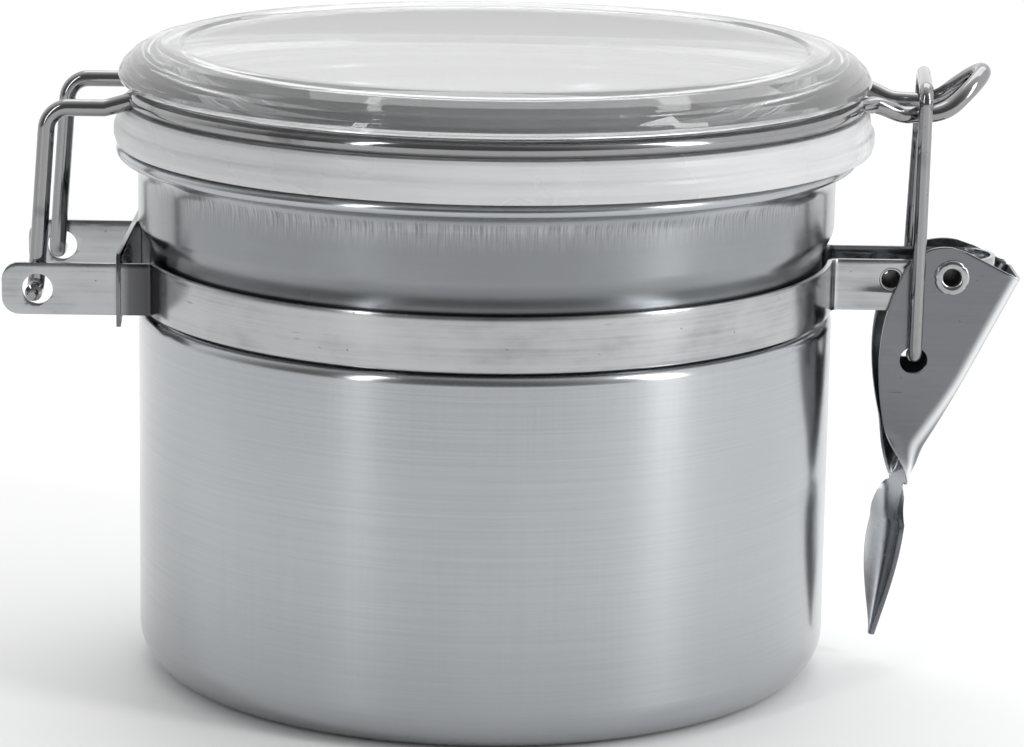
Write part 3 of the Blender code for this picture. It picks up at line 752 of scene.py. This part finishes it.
@dataclass
class Eyelet:
    """A hollow rivet along Y with a rolled and split lip at each end."""

    name: str
    node: str
    place: Point
    seat: float
    bore: float
    shank: float
    head: float
    lip: float = 0.45 * MM
    clearance: float = 0.05 * MM
    splits: int = 5
    split_depth: float = 0.07
    split_turn: float = 0.5
    split_sharpness: int = 18
    turns: int = 80

    def outline(self) -> list[Point]:
        """Its closed outline in (radius, length), half a rolled lip at each end."""
        seat = self.seat + self.clearance
        middle = (self.bore + self.head) / 2
        reach = (self.head - self.bore) / 2
        roll = [
            (middle + reach * math.cos(a), seat + self.lip * math.sin(a))
            for a in (math.pi * (1 - i / 10) for i in range(11))
        ]
        half = [(self.bore, 0.0), *roll, (self.shank, seat), (self.shank, 0.0)]
        return half + [(r, -length) for r, length in half[-2:0:-1]]

    def split(self, bm: bmesh.types.BMesh) -> None:
        """Notches the outer edge of both lips, where the tube split as it was rolled."""
        threshold = (self.shank + self.head) / 2
        for vert in bm.verts:
            radius = math.hypot(vert.co.x, vert.co.y)
            if radius < threshold or abs(vert.co.z) < self.seat:
                continue
            turn = math.atan2(vert.co.y, vert.co.x) + self.split_turn
            notch = max(0.0, math.cos(self.splits * turn)) ** self.split_sharpness
            vert.co.xy *= 1 - self.split_depth * notch

    def build(self, finish: bpy.types.Material, bore: bpy.types.Material) -> None:
        """Makes and dresses the eyelet.

        Args:
            finish: Its material.
            bore: The near-black material painted inside it as shade.
        """
        bm = turned(self.outline(), self.turns)
        self.split(bm)
        bmesh.ops.rotate(bm, cent=(0, 0, 0), matrix=Matrix.Rotation(math.pi / 2, 3, "X"), verts=bm.verts)
        bmesh.ops.translate(bm, vec=(self.place[0], 0, self.place[1]), verts=bm.verts)
        piece = in_scene(self.name, bm)
        dress(piece, finish, "polished_steel", Body.CAN, self.node)
        # Faces inside the bore take the near-black finish: painted shade.
        piece.data.materials.append(bore)
        for face in piece.data.polygons:
            x, y, z = face.center
            radius = math.hypot(x - self.place[0], z - self.place[1])
            face.material_index = int(radius < self.bore + 0.1 * MM and abs(y) < self.seat)


@dataclass
class Clamp:
    """The band round the can, the clip that closes it, and the eyelets of its lug."""

    can: Can
    hinge: Point = (-79.3 * MM, 70.8 * MM)
    hinge_play: float = 0.64 * MM
    pivot: Point = (83.4 * MM, 73.2 * MM)
    lug_rivet: Point = (72.7 * MM, 72.5 * MM)
    thickness: float = 0.8 * MM
    bottom: float = 66.9 * MM
    height: float = 9.2 * MM
    gap: float = 0.3 * MM
    ear_y: float = 19.8 * MM
    ear_end: float = -84.9 * MM
    ear_bend: float = 2.2 * MM
    ear_corner: float = 3.0 * MM
    ear_hole: float = 2.7 * MM
    lug_y: float = 5.8 * MM
    lug_bend: float = 3.0 * MM
    lug_turn: float = 84.9 * MM
    rivet_hole: float = 2.2 * MM
    pivot_hole: float = 2.3 * MM
    lever_half: float = 8.0 * MM
    eyelet_bore: float = 1.55 * MM
    lug_eyelet: Point = (1.9 * MM, 2.35 * MM)
    pivot_eyelet: Point = (2.0 * MM, 3.2 * MM)
    ear_reach: float = 25.0 * MM
    lug_reach: float = 12.0 * MM
    edge: float = 0.14 * MM
    clip_edge: float = 0.12 * MM
    clip_x: float = -64.4 * MM
    clip_half: float = 21.6 * MM
    clip_top: float = 78.0 * MM
    clip_bottom: float = 64.9 * MM
    clip_point: float = 5.0 * MM
    clip_rise: float = 1.5 * MM
    # Where the painted shade on the strap's front bend fades in, is full, starts to fade and ends, along X.
    painted_bend_shade: tuple[float, float, float, float] = (-63.8 * MM, -62.2 * MM, -56.4 * MM, -55.4 * MM)

    def route(self) -> list[Vector]:
        """The strip's outer face in plan, from the front ear round the can and lug to the back ear."""
        middle = self.can.radius - self.can.groove_depth + self.gap + self.thickness / 2
        ear_out, lug_out = middle + self.ear_bend, middle + self.lug_bend
        ear = math.degrees(math.asin((self.ear_y + self.ear_bend) / ear_out))
        lug = math.degrees(math.asin((self.lug_y + self.lug_bend) / lug_out))
        ear_centre = (-ear_out * math.cos(math.radians(ear)), -self.ear_y - self.ear_bend)
        lug_centre = (lug_out * math.cos(math.radians(lug)), -self.lug_y - self.lug_bend)
        half = self.thickness / 2
        steps = 16
        straight = ear_centre[0] - self.ear_end
        front = [(self.ear_end + straight * (i / steps) ** 2, -self.ear_y - half) for i in range(steps)]
        front += arc(ear_centre, self.ear_bend - half, 90, ear, 10)
        front += arc((0, 0), middle + half, 180 + ear, 360 - lug, 170)[1:-1]
        front += arc(lug_centre, self.lug_bend - half, 180 - lug, 90, 10)
        front += arc((self.lug_turn, 0), self.lug_y + half, -90, 0, 16)
        back = [(x, -y) for x, y in front[-2::-1]]
        return [Vector(point) for point in front + back]

    def ear_rise(self, from_end: float) -> float:
        """How far the ear's rounded end takes its top and bottom in, at a distance from its end."""
        if from_end >= self.ear_corner:
            return 0.0
        return self.ear_corner - math.sqrt(self.ear_corner**2 - (self.ear_corner - from_end) ** 2)

    def strip(self) -> bpy.types.Object:
        """The strip, with its holes."""
        route = self.route()
        rows = 8
        bm = bmesh.new()
        bmesh.ops.create_grid(bm, x_segments=len(route) - 1, y_segments=rows, size=1.0)
        painted_light_tone = bm.verts.layers.float.new(PAINTED_LIGHT_ATTRIBUTE)
        for vert in bm.verts:
            point = route[round((vert.co.x + 1) / 2 * (len(route) - 1))]
            inset = self.ear_rise(max(0.0, point.x - self.ear_end))
            half = self.height / 2 - inset
            # Painted shade: a near-black band on the strap where it bends from the hoop into the front ear.
            # It stands in for the dark reflection there.
            start, full, fade, end = self.painted_bend_shade
            vert[painted_light_tone] = eased((point.x - start) / (full - start)) * eased((end - point.x) / (end - fade))
            vert.co = (point.x, point.y, self.bottom + self.height / 2 + half * vert.co.y)
        bmesh.ops.reverse_faces(bm, faces=bm.faces)
        strap = in_scene("clamp_strap", bm)
        ear_hole = (self.hinge[0] + self.hinge_play, self.hinge[1] + self.hinge_play)
        cutters = [
            drill("ear_holes", ear_hole, self.ear_hole, self.ear_reach),
            drill("lug_holes", self.lug_rivet, self.rivet_hole, self.lug_reach),
            drill("pivot_holes", self.pivot, self.pivot_hole, self.lug_reach),
        ]
        return finished(strap, cutters, thickness=self.thickness, edge=self.edge)

    def clip(self) -> bpy.types.Object:
        """The slotted plate that both ears pass through."""
        inner = self.clip_half - self.clip_point
        low = self.clip_bottom + self.clip_rise
        half = [(self.clip_half, self.clip_top), (self.clip_half, self.clip_bottom), (inner, low)]
        corners = half + [(-y, z) for y, z in half[::-1]]
        bm = bmesh.new()
        x = self.clip_x - self.thickness / 2
        face = bm.faces.new([bm.verts.new((x, y, z)) for y, z in corners])
        raised = bmesh.ops.extrude_face_region(bm, geom=[face])["geom"]
        moved = [part for part in raised if isinstance(part, bmesh.types.BMVert)]
        bmesh.ops.translate(bm, vec=(self.thickness, 0, 0), verts=moved)
        bmesh.ops.recalc_face_normals(bm, faces=bm.faces)
        plate = in_scene("hinge_plate", bm)
        reach = self.thickness / 2 + self.gap
        cutters = []
        for side in (-1, 1):
            middle = Vector((self.clip_x, side * self.ear_y, self.bottom + self.height / 2))
            half = Vector((2 * MM, reach, self.height / 2 + self.gap))
            cutters.append(slot_block(f"clip_slot_{side}", middle - half, middle + half))
        return finished(plate, cutters, edge=self.clip_edge)

    def build(self) -> None:
        """Makes and dresses the clamp."""
        # The last colour is the painted shade on the strap's front bend.
        bright = StripSteel(
            "strip_steel", (0.46, 0.47, 0.48), (0.22, 0.23, 0.24), 0.18, Grain.ROUND, (0.07, 0.07, 0.075)
        ).material()
        dark = StripSteel(
            "clip_steel", (0.2, 0.205, 0.21), (0.08, 0.08, 0.085), 0.14, Grain.UPRIGHT
        ).material()
        dress(self.strip(), bright, "polished_steel", Body.CAN, "clamp_band")
        dress(self.clip(), dark, "pressed_steel", Body.CAN, "hinge_clip")
        seat = self.lug_y + self.thickness / 2
        # Near-black, non-metallic finish for the eyelets' bores: painted shade inside them.
        dull = StripSteel(
            "bore_steel", (0.03, 0.03, 0.03), (0.01, 0.01, 0.01), 0.7, Grain.ALONG_X, metal=0.0
        ).material()
        bore = self.eyelet_bore
        lug = Eyelet("lug_rivet", "lug_eyelet", self.lug_rivet, seat, bore, *self.lug_eyelet)
        pivot = Eyelet("pivot_rivet", "pivot_eyelet", self.pivot, self.lever_half, bore, *self.pivot_eyelet)
        for eyelet in (lug, pivot):
            eyelet.build(bright, dull)


# ---------------------------------------------------------------- the lid


@dataclass
class Lid:
    """The clear lid and its silicone seal."""

    shift: float = 1.2 * MM
    window: float = 55.6 * MM
    window_z: float = 112.6 * MM
    step: float = 0.6 * MM
    thickness: float = 2.4 * MM
    radius: float = 67.2 * MM
    underside: float = 106.5 * MM
    groove: float = 63.4 * MM
    skirt: float = 59.5 * MM
    skirt_wall: float = 2.2 * MM
    skirt_bottom: float = 91.0 * MM
    flange: float = 64.3 * MM
    flange_bottom: float = 98.9 * MM
    flange_top: float = 101.1 * MM
    seal: float = 68.0 * MM
    seal_bottom: float = 95.7 * MM
    seal_top: float = 102.8 * MM
    gap: float = 0.3 * MM
    turns: int = 240

    def shell_outline(self) -> list[Point]:
        """The lid's closed outline, from the middle of its window out, down and back up inside."""
        top = self.window_z
        inner_skirt, inner_groove = self.skirt - self.skirt_wall, self.groove - self.skirt_wall
        outside = [
            (0.0, top),
            (self.window, top),
            (self.window + 0.7 * MM, top + self.step),
            (59.6 * MM, top + self.step),
            (62.4 * MM, top - 0.1 * MM),
            (64.6 * MM, top - 1.3 * MM),
            (66.2 * MM, top - 2.8 * MM),
            (self.radius - 0.2 * MM, top - 4.1 * MM),
            (self.radius, top - 4.9 * MM),
            (self.radius - 0.3 * MM, self.underside + 0.4 * MM),
            (self.radius - 1.2 * MM, self.underside),
            (self.groove, self.underside),
            (self.groove, self.seal_top + self.gap),
            (self.skirt, self.seal_top + self.gap),
            (self.skirt, self.flange_top),
            (self.flange, self.flange_top),
            (self.flange, self.flange_bottom),
            (self.skirt, self.flange_bottom),
            (self.skirt, self.skirt_bottom),
        ]
        inside = [
            (inner_skirt, self.skirt_bottom),
            (inner_skirt, self.seal_top + 1.5 * MM),
            (inner_skirt + 0.8 * MM, self.seal_top + 2.3 * MM),
            (inner_groove, self.seal_top + 2.3 * MM),
            (inner_groove, self.underside + 1.8 * MM),
            (inner_groove - 1.4 * MM, top - self.thickness + 0.4 * MM),
            (self.window, top - self.thickness),
            (0.0, top - self.thickness),
        ]
        return softened(outside + inside, 0.5 * MM)

    def seal_outline(self) -> list[Point]:
        """The seal's closed outline, with an inward channel and a proud lower lip."""
        inner = self.skirt + self.gap
        channel = self.flange + self.gap
        return softened(
            [
                (inner, self.seal_top),
                (66.3 * MM, self.seal_top),
                (67.0 * MM, self.seal_top - 0.6 * MM),
                (67.2 * MM, self.seal_top - 1.6 * MM),
                (67.3 * MM, 99.6 * MM),
                (self.seal - 0.2 * MM, 99.2 * MM),
                (self.seal, 98.6 * MM),
                (self.seal, 97.2 * MM),
                (self.seal - 0.4 * MM, self.seal_bottom + 0.2 * MM),
                (66.8 * MM, self.seal_bottom),
                (63.0 * MM, self.seal_bottom),
                (inner, self.seal_bottom + 1.2 * MM),
                (inner, self.flange_bottom - self.gap),
                (channel, self.flange_bottom - self.gap),
                (channel, self.flange_top + self.gap),
                (inner, self.flange_top + self.gap),
            ],
            0.3 * MM,
        )

    def build(self) -> None:
        """Makes and dresses the lid and its seal."""
        shell = in_scene("lid_shell", turned(self.shell_outline(), self.turns, self.shift))
        dress(shell, ClearPlastic().material(), "clear_plastic", Body.LID, "lid")
        ring = in_scene("seal_ring", turned(self.seal_outline(), self.turns, self.shift))
        dress(ring, Silicone().material(), "silicone", Body.LID, "gasket")


# ---------------------------------------------------------------- the lid's wire


@dataclass
class LidWire:
    """One wire: necked hinge tips, two arms, the ring round the lid and the upturned hook."""

    lid: Lid
    hinge: Point
    radius: float = 1.5 * MM
    ring: float = 65.2 * MM
    ring_z: float = 104.6 * MM
    arm_y: float = 17.5 * MM
    arm_z: float = 103.1 * MM
    arm_top: float = -76.9 * MM
    arm_bend: float = 4.0 * MM
    hinge_bend: float = 2.2 * MM
    shank_y: float = 21.4 * MM
    tip_y: float = 24.0 * MM
    tip_share: float = 0.64
    hook_z: float = 102.65 * MM
    root_y: float = 10.5 * MM
    hook_y: float = 9.1 * MM
    hook_tip: float = 7.8 * MM
    hook_drop: float = 1.7
    rise_x: float = 77.9 * MM
    rise_radius: float = 7.7 * MM
    rise_angle: float = math.radians(42)
    turn_run: float = 0.7 * MM
    turn_depth: float = 12.0 * MM
    arm_to_ring: float = 3.0 * MM
    tip_round: float = 0.25 * MM
    tip_round_share: float = 0.7
    root_run: float = 2.2 * MM
    ring_spare: float = 2.6 * MM
    narrow_pace: float = 1.8
    root_steps: int = 26
    turn_steps: int = 30

    def arm(self, side: int) -> tuple[list[Vector], list[float]]:
        """One arm, from its hinge tip to the ring, and the wire's share of thickness along it."""
        x, z = self.hinge
        corners = [
            Vector((x, side * self.shank_y, z)),
            Vector((x, side * self.arm_y, z)),
            Vector((self.arm_top, side * self.arm_y, self.arm_z)),
            Vector((self.lid.shift - self.ring - self.arm_to_ring, side * self.arm_y, self.arm_z)),
        ]
        bent = rounded_path(corners, (self.hinge_bend, self.arm_bend))
        ends = (self.tip_y, self.tip_y - self.tip_round, self.shank_y + 0.3 * MM)
        tip = [Vector((x, side * y, z)) for y in ends]
        shares = [self.tip_share * self.tip_round_share, self.tip_share, self.tip_share] + [1.0] * len(bent)
        return tip + bent, shares

    def hook_point(self, run: float, y: float) -> Vector:
        """A point of the hook, which is level, then curves up, then goes straight.

        Args:
            run: The distance along its side view.
            y: How far it lies from the middle.

        Returns:
            The point.
        """
        bend = self.rise_radius * self.rise_angle
        if run <= self.rise_x:
            return Vector((run, y, self.hook_z))
        turned_by = min(run - self.rise_x, bend) / self.rise_radius
        straight = max(run - self.rise_x - bend, 0.0)
        x = self.rise_radius * math.sin(turned_by) + straight * math.cos(self.rise_angle)
        z = self.rise_radius * (1 - math.cos(turned_by)) + straight * math.sin(self.rise_angle)
        return Vector((self.rise_x + x, y, self.hook_z + z))

    def hook(self, side: int) -> list[Vector]:
        """Half of the hook, from the ring out to the middle of its round tip."""
        start = self.lid.shift + math.sqrt(self.ring**2 - self.root_y**2) + self.root_run
        turn = self.rise_x + self.turn_run
        points = []
        for i in range(1, self.root_steps + 1):
            share = i / self.root_steps
            y = self.root_y + (self.hook_y - self.root_y) * eased(self.narrow_pace * share)
            y += (self.hook_tip - self.hook_y) * eased(2 * share - 1)
            point = self.hook_point(start + (turn - start) * share, side * y)
            point.z += (self.ring_z - self.hook_z) * (1 - eased(self.hook_drop * share))
            points.append(point)
        for i in range(1, self.turn_steps + 1):
            angle = math.pi / 2 * i / self.turn_steps
            run = turn + self.turn_depth * math.sin(angle)
            points.append(self.hook_point(run, side * self.hook_tip * math.cos(angle)))
        return points

    def around(self, side: int) -> list[Vector]:
        """Half of the ring in the lid's groove, from the arm to the hook."""
        start = 180 - math.degrees(math.asin(self.arm_y / self.ring))
        end = math.degrees(math.asin((self.root_y + self.ring_spare) / self.ring))
        flat = arc((0.0, 0.0), self.ring, start, end, 90)
        return [Vector((self.lid.shift + x, side * y, self.ring_z)) for x, y in flat]

    def build(self, finish: bpy.types.Material) -> None:
        """Makes and dresses the wire.

        Args:
            finish: Its material.
        """
        arm, shares = self.arm(-1)
        half = arm + self.around(-1) + self.hook(-1)
        shares += [1.0] * (len(half) - len(shares))
        path = half + [Vector((p.x, -p.y, p.z)) for p in half[-2::-1]]
        bm = swept(path, self.radius, shares + shares[-2::-1])
        dress(in_scene("lid_bow", bm), finish, "wire_steel", Body.LID, "lid_wire")


# ---------------------------------------------------------------- the latch


@dataclass
class Latch:
    """The pressed lever and the wire bail that it pulls down."""

    pivot: Point
    bail_pivot: Point = (77.1 * MM, 58.85 * MM)
    bail_play: float = 0.95 * MM
    sheet: float = 0.8 * MM
    half_width: float = 8.0 * MM
    corner: float = 2.2 * MM
    top: Point = (95.9 * MM, 72.8 * MM)
    spine_angle: float = math.radians(63.3)
    spine: float = 44.0 * MM
    depth: float = 19.4 * MM
    runout: float = 2.1
    front_top: Point = (11.0 * MM, 8.0 * MM)
    back_top: Point = (7.6 * MM, 11.0 * MM)
    narrow_from: float = 0.45
    narrow_power: float = 1.6
    neck: float = 2.6 * MM
    neck_twist: float = 9.0 * MM
    tab: float = 29.3 * MM
    tab_half: float = 4.7 * MM
    tab_dish: float = 2.4 * MM
    tab_twist: float = math.radians(32)
    tab_lean: float = math.radians(82.5)
    tab_bend_share: float = 0.25
    tab_skew: float = 0.8
    tab_power: float = 1.05
    tip_half: float = 0.5 * MM
    pivot_hole: float = 2.3 * MM
    bail_hole: float = 2.5 * MM
    bail_radius: float = 1.25 * MM
    foot_y: float = 9.55 * MM
    top_y: float = 12.3 * MM
    end_y: float = 6.2 * MM
    bail_top: Point = (78.1 * MM, 107.5 * MM)
    bail_skew: float = 1.0 * MM
    foot_bend: float = 1.7 * MM
    top_bend: float = 2.6 * MM
    # Painted highlight along the lever's long bends, at its neck and on its tab's back edge: width, strength
    # and reach.
    highlight_width: float = 1.7 * MM
    highlight_strength: float = 0.9
    highlight_above: float = 5.0 * MM
    highlight_below: float = 6.0 * MM
    highlight_edge: tuple[float, float] = (0.1, 0.5)
    cells: tuple[int, int] = (150, 96)
    drill_reach: float = 12.0 * MM
    edge: float = 0.12 * MM

    def cheek(self, run: float, across: float) -> float:
        """How deep a cheek is, at a distance down the spine. The back one's top is cut lower."""
        top_depth, rounding = self.back_top if across > 0 else self.front_top
        straight = self.front_top[1]
        share = max(0.0, run - straight) / (self.spine - straight)
        depth = self.depth * (1 - min(1.0, share) ** self.runout)
        if run < rounding:
            rise = math.sqrt(max(0.0, 1 - (1 - run / rounding) ** 2))
            depth = top_depth + (depth - top_depth) * rise
        return depth

    @staticmethod
    def placed(start: Vector, square: Vector, twist: float, y: float, h: float) -> Vector:
        """A point beside the spine.

        Args:
            start: The point of the spine that it belongs to.
            square: The side-view direction from the spine towards the can.
            twist: How far the sheet is turned about the spine.
            y: Its distance along the sheet's width.
            h: Its distance off the sheet.

        Returns:
            The point.
        """
        level = Vector((-math.sin(twist) * y, math.cos(twist) * y, 0))
        return start + level + (square * math.cos(twist) - Vector((0, math.sin(twist), 0))) * h

    def channel_point(self, run: float, across: float) -> Vector:
        """A point of the channel's outer face.

        Args:
            run: The distance down the spine.
            across: From -1 at the front cheek's edge to 1 at the back one's.

        Returns:
            The point.
        """
        along = Vector((-math.cos(self.spine_angle), 0, -math.sin(self.spine_angle)))
        square = Vector((along.z, 0, -along.x))
        narrow = max(0.0, (run / self.spine - self.narrow_from) / (1 - self.narrow_from)) ** self.narrow_power
        half = self.half_width + (self.neck - self.half_width) * narrow
        depth = self.cheek(run, across)
        bend = min(self.corner, 0.9 * depth, 0.9 * half)
        web, turn = half - bend, bend * math.pi / 2
        travel = abs(across) * (web + turn + depth - bend)
        y, h = travel, 0.0
        if travel > web + turn:
            y, h = half, bend + travel - web - turn
        elif travel > web:
            angle = (travel - web) / bend
            y, h = web + bend * math.sin(angle), bend * (1 - math.cos(angle))
        start = Vector((self.top[0], 0, self.top[1])) + along * run
        twist = self.tab_twist * eased(1 - (self.spine - run) / self.neck_twist)
        return self.placed(start, square, twist, math.copysign(y, across), h)

    def tab_point(self, run: float, across: float) -> Vector:
        """A point of the finger tab's outer face.

        Args:
            run: The distance down from the neck.
            across: From -1 at its front edge to 1 at its back one.

        Returns:
            The point.
        """
        share = min(1.0, run / self.tab)
        bent = min(1.0, share / self.tab_bend_share)
        lean = self.spine_angle + (self.tab_lean - self.spine_angle) * bent
        along = Vector((-math.cos(lean), 0, -math.sin(lean)))
        square = Vector((along.z, 0, -along.x))
        swell = math.sin(math.pi * share**self.tab_skew) ** self.tab_power if 0 < share < 1 else 0.0
        half = self.neck * (1 - share) + self.tip_half * share + (self.tab_half - self.neck / 2) * swell
        h = self.tab_dish * swell * (across * across - 0.5)
        start = self.channel_point(self.spine, 0.0) + along * run
        return self.placed(start, square, self.tab_twist, across * half, h)

    def wear_and_painted_light(self, run: float, across: float) -> float:
        """How much painted highlight a place of the lever gets: along its long bends, at its neck and on its
        tab's back edge.
        """
        if run > self.spine:
            start, spread = self.highlight_edge
            return eased((across - start) / spread) + eased(1 - (run - self.spine) / self.highlight_below)
        reach = self.half_width + self.cheek(run, across)
        painted_light = eased(1 - abs(abs(across) * reach - self.half_width) / self.highlight_width)
        return self.highlight_strength * painted_light + eased(1 - (self.spine - run) / self.highlight_above)

    def lever(self) -> bpy.types.Object:
        """The lever: a channel that runs out at the neck, and a dished, twisted tab."""
        total = self.spine + self.tab
        bm = bmesh.new()
        bmesh.ops.create_grid(bm, x_segments=self.cells[0], y_segments=self.cells[1], size=1.0)
        painted_light_tone = bm.verts.layers.float.new(PAINTED_LIGHT_ATTRIBUTE)
        for vert in bm.verts:
            run, across = total * (vert.co.x + 1) / 2, vert.co.y
            below = run - self.spine
            vert.co = self.tab_point(below, across) if below > 0 else self.channel_point(run, across)
            # Painted highlight mask, read by the lever's material.
            vert[painted_light_tone] = self.wear_and_painted_light(run, across)
        lever = in_scene("lever_sheet", bm)
        bail_hole = (self.bail_pivot[0], self.bail_pivot[1] - self.bail_play)
        cutters = [
            drill("lever_pivot_holes", self.pivot, self.pivot_hole, self.drill_reach),
            drill("lever_bail_holes", bail_hole, self.bail_hole, self.drill_reach),
        ]
        return finished(lever, cutters, thickness=self.sheet, edge=self.edge)

    def bail(self) -> bpy.types.Object:
        """The bail: ends turned in through the cheeks, legs, and a crossbar over the hook."""
        corners = []
        for side in (-1, 1):
            end = Vector((self.bail_pivot[0], side * self.end_y, self.bail_pivot[1]))
            foot = Vector((self.bail_pivot[0], side * self.foot_y, self.bail_pivot[1]))
            top = Vector((self.bail_top[0] + side * self.bail_skew, side * self.top_y, self.bail_top[1]))
            corners += [end, foot, top] if side < 0 else [top, foot, end]
        radii = (self.foot_bend, self.top_bend, self.top_bend, self.foot_bend)
        path = rounded_path(corners, radii)
        return in_scene("bail_wire", swept(path, self.bail_radius, [1.0] * len(path)))

    def build(self, wire: bpy.types.Material) -> None:
        """Makes and dresses the latch.

        Args:
            wire: The bail's material.
        """
        # Painted highlight colour, mixed in where the lever's painted-light mask is high.
        painted_light = (0.85, 0.86, 0.87)
        sheet = StripSteel(
            "lever_steel", (0.2, 0.207, 0.22), (0.14, 0.145, 0.155), 0.22, Grain.ALONG_X, painted_light
        ).material()
        dress(self.lever(), sheet, "pressed_steel", Body.LEVER, "latch_lever")
        dress(self.bail(), wire, "wire_steel", Body.BAIL, "latch_bail")


# ---------------------------------------------------------------- the studio


@dataclass
class Studio:
    """The floor, the soft lights and the camera."""

    distance: float = 0.700
    height: float = 0.21014
    pitch: float = math.radians(12.675)
    yaw: float = math.radians(0.411)
    roll: float = math.radians(0.9085)
    lens: float = 138.7
    sensor: float = 36.0
    sky_range: tuple[float, float, float, float] = (-0.8, 0.3, 0.16, 1.12)
    sky_turn: float = math.radians(22)
    floor_size: float = 14.0
    floor_colour: Colour = (0.9, 0.9, 0.9)
    floor_gap: float = 0.05 * MM

    def camera(self) -> None:
        """Sets the camera."""
        data = bpy.data.cameras.new("camera")
        data.lens, data.sensor_width = self.lens, self.sensor
        forward = Vector(
            (
                math.sin(self.yaw) * math.cos(self.pitch),
                math.cos(self.yaw) * math.cos(self.pitch),
                -math.sin(self.pitch),
            )
        )
        level = forward.cross(Vector((0, 0, 1))).normalized()
        up = level.cross(forward)
        right = level * math.cos(self.roll) + up * math.sin(self.roll)
        up = up * math.cos(self.roll) - level * math.sin(self.roll)
        camera = bpy.data.objects.new("camera", data)
        turn = Matrix((right, up, -forward)).transposed().to_4x4()
        camera.matrix_world = Matrix.Translation((0, -self.distance, self.height)) @ turn
        bpy.context.scene.collection.objects.link(camera)
        bpy.context.scene.camera = camera

    def softbox(
        self, name: str, azimuth: float, distance: float, height: float, size: Point, power: float
    ) -> None:
        """Adds an area light that faces the canister.

        Args:
            name: Its name.
            azimuth: Degrees round from the camera's side, towards +X.
            distance: How far it stands from the canister's axis.
            height: How high its middle is.
            size: Its width and height.
            power: Its power in watts.
        """
        data = bpy.data.lights.new(name, "AREA")
        data.shape, data.size, data.size_y = "RECTANGLE", size[0], size[1]
        data.energy = power
        turn = math.radians(azimuth)
        place = Vector((distance * math.sin(turn), -distance * math.cos(turn), height))
        light = bpy.data.objects.new(name, data)
        light.matrix_world = Matrix.Translation(place) @ (
            (place - Vector((0, 0, 0.05))).to_track_quat("Z", "Y").to_matrix().to_4x4()
        )
        bpy.context.scene.collection.objects.link(light)

    def world(self) -> None:
        """Surrounds the canister with a studio, dark towards the camera and the hinge and bright behind."""
        world = bpy.data.worlds.new("studio")
        bpy.context.scene.world = world
        world.use_nodes = True
        tree = world.node_tree
        place = tree.nodes.new("ShaderNodeTexCoord")
        depth = tree.nodes.new("ShaderNodeMapRange")
        depth.interpolation_type = "SMOOTHSTEP"
        for socket, number in zip(("From Min", "From Max", "To Min", "To Max"), self.sky_range):
            depth.inputs[socket].default_value = number
        turn = tree.nodes.new("ShaderNodeVectorMath")
        turn.operation = "DOT_PRODUCT"
        turn.inputs[1].default_value = (math.sin(self.sky_turn), math.cos(self.sky_turn), 0.0)
        tree.links.new(place.outputs["Generated"], turn.inputs[0])
        tree.links.new(turn.outputs["Value"], depth.inputs["Value"])
        background = tree.nodes["Background"]
        tree.links.new(depth.outputs["Result"], background.inputs["Strength"])
        background.inputs["Color"].default_value = (1.0, 1.0, 1.0, 1.0)

    def floor(self) -> None:
        """Lays the pale floor."""
        bm = bmesh.new()
        bmesh.ops.create_grid(bm, x_segments=1, y_segments=1, size=self.floor_size / 2)
        bmesh.ops.translate(bm, vec=(0, 0, -self.floor_gap), verts=bm.verts)
        floor = in_scene("floor", bm)
        nodes = Nodes("pale_floor")
        nodes.set(Base_Color=(*self.floor_colour, 1.0), Roughness=0.6)
        floor.data.materials.append(nodes.material)

    def build(self) -> None:
        """Sets the whole studio."""
        self.camera()
        self.world()
        self.floor()
        self.softbox("strip_left", -40, 1.6, 0.8, (0.13, 1.4), 5.0)
        self.softbox("strip_right", 60, 1.6, 0.8, (0.34, 1.4), 12.0)
        self.softbox("overhead", 165, 0.9, 1.5, (1.6, 1.2), 9.0)
        bpy.context.scene.view_settings.view_transform = "Standard"


def main() -> None:
    """Loads the frame and builds every piece round it."""
    logging.basicConfig(level=logging.INFO, format="%(message)s")
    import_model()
    can = Can()
    clamp = Clamp(can)
    lid = Lid()
    wire = WireSteel().material()
    can.build()
    clamp.build()
    lid.build()
    LidWire(lid, clamp.hinge).build(wire)
    Latch(clamp.pivot).build(wire)
    Studio().build()


if __name__ == "__main__":
    main()
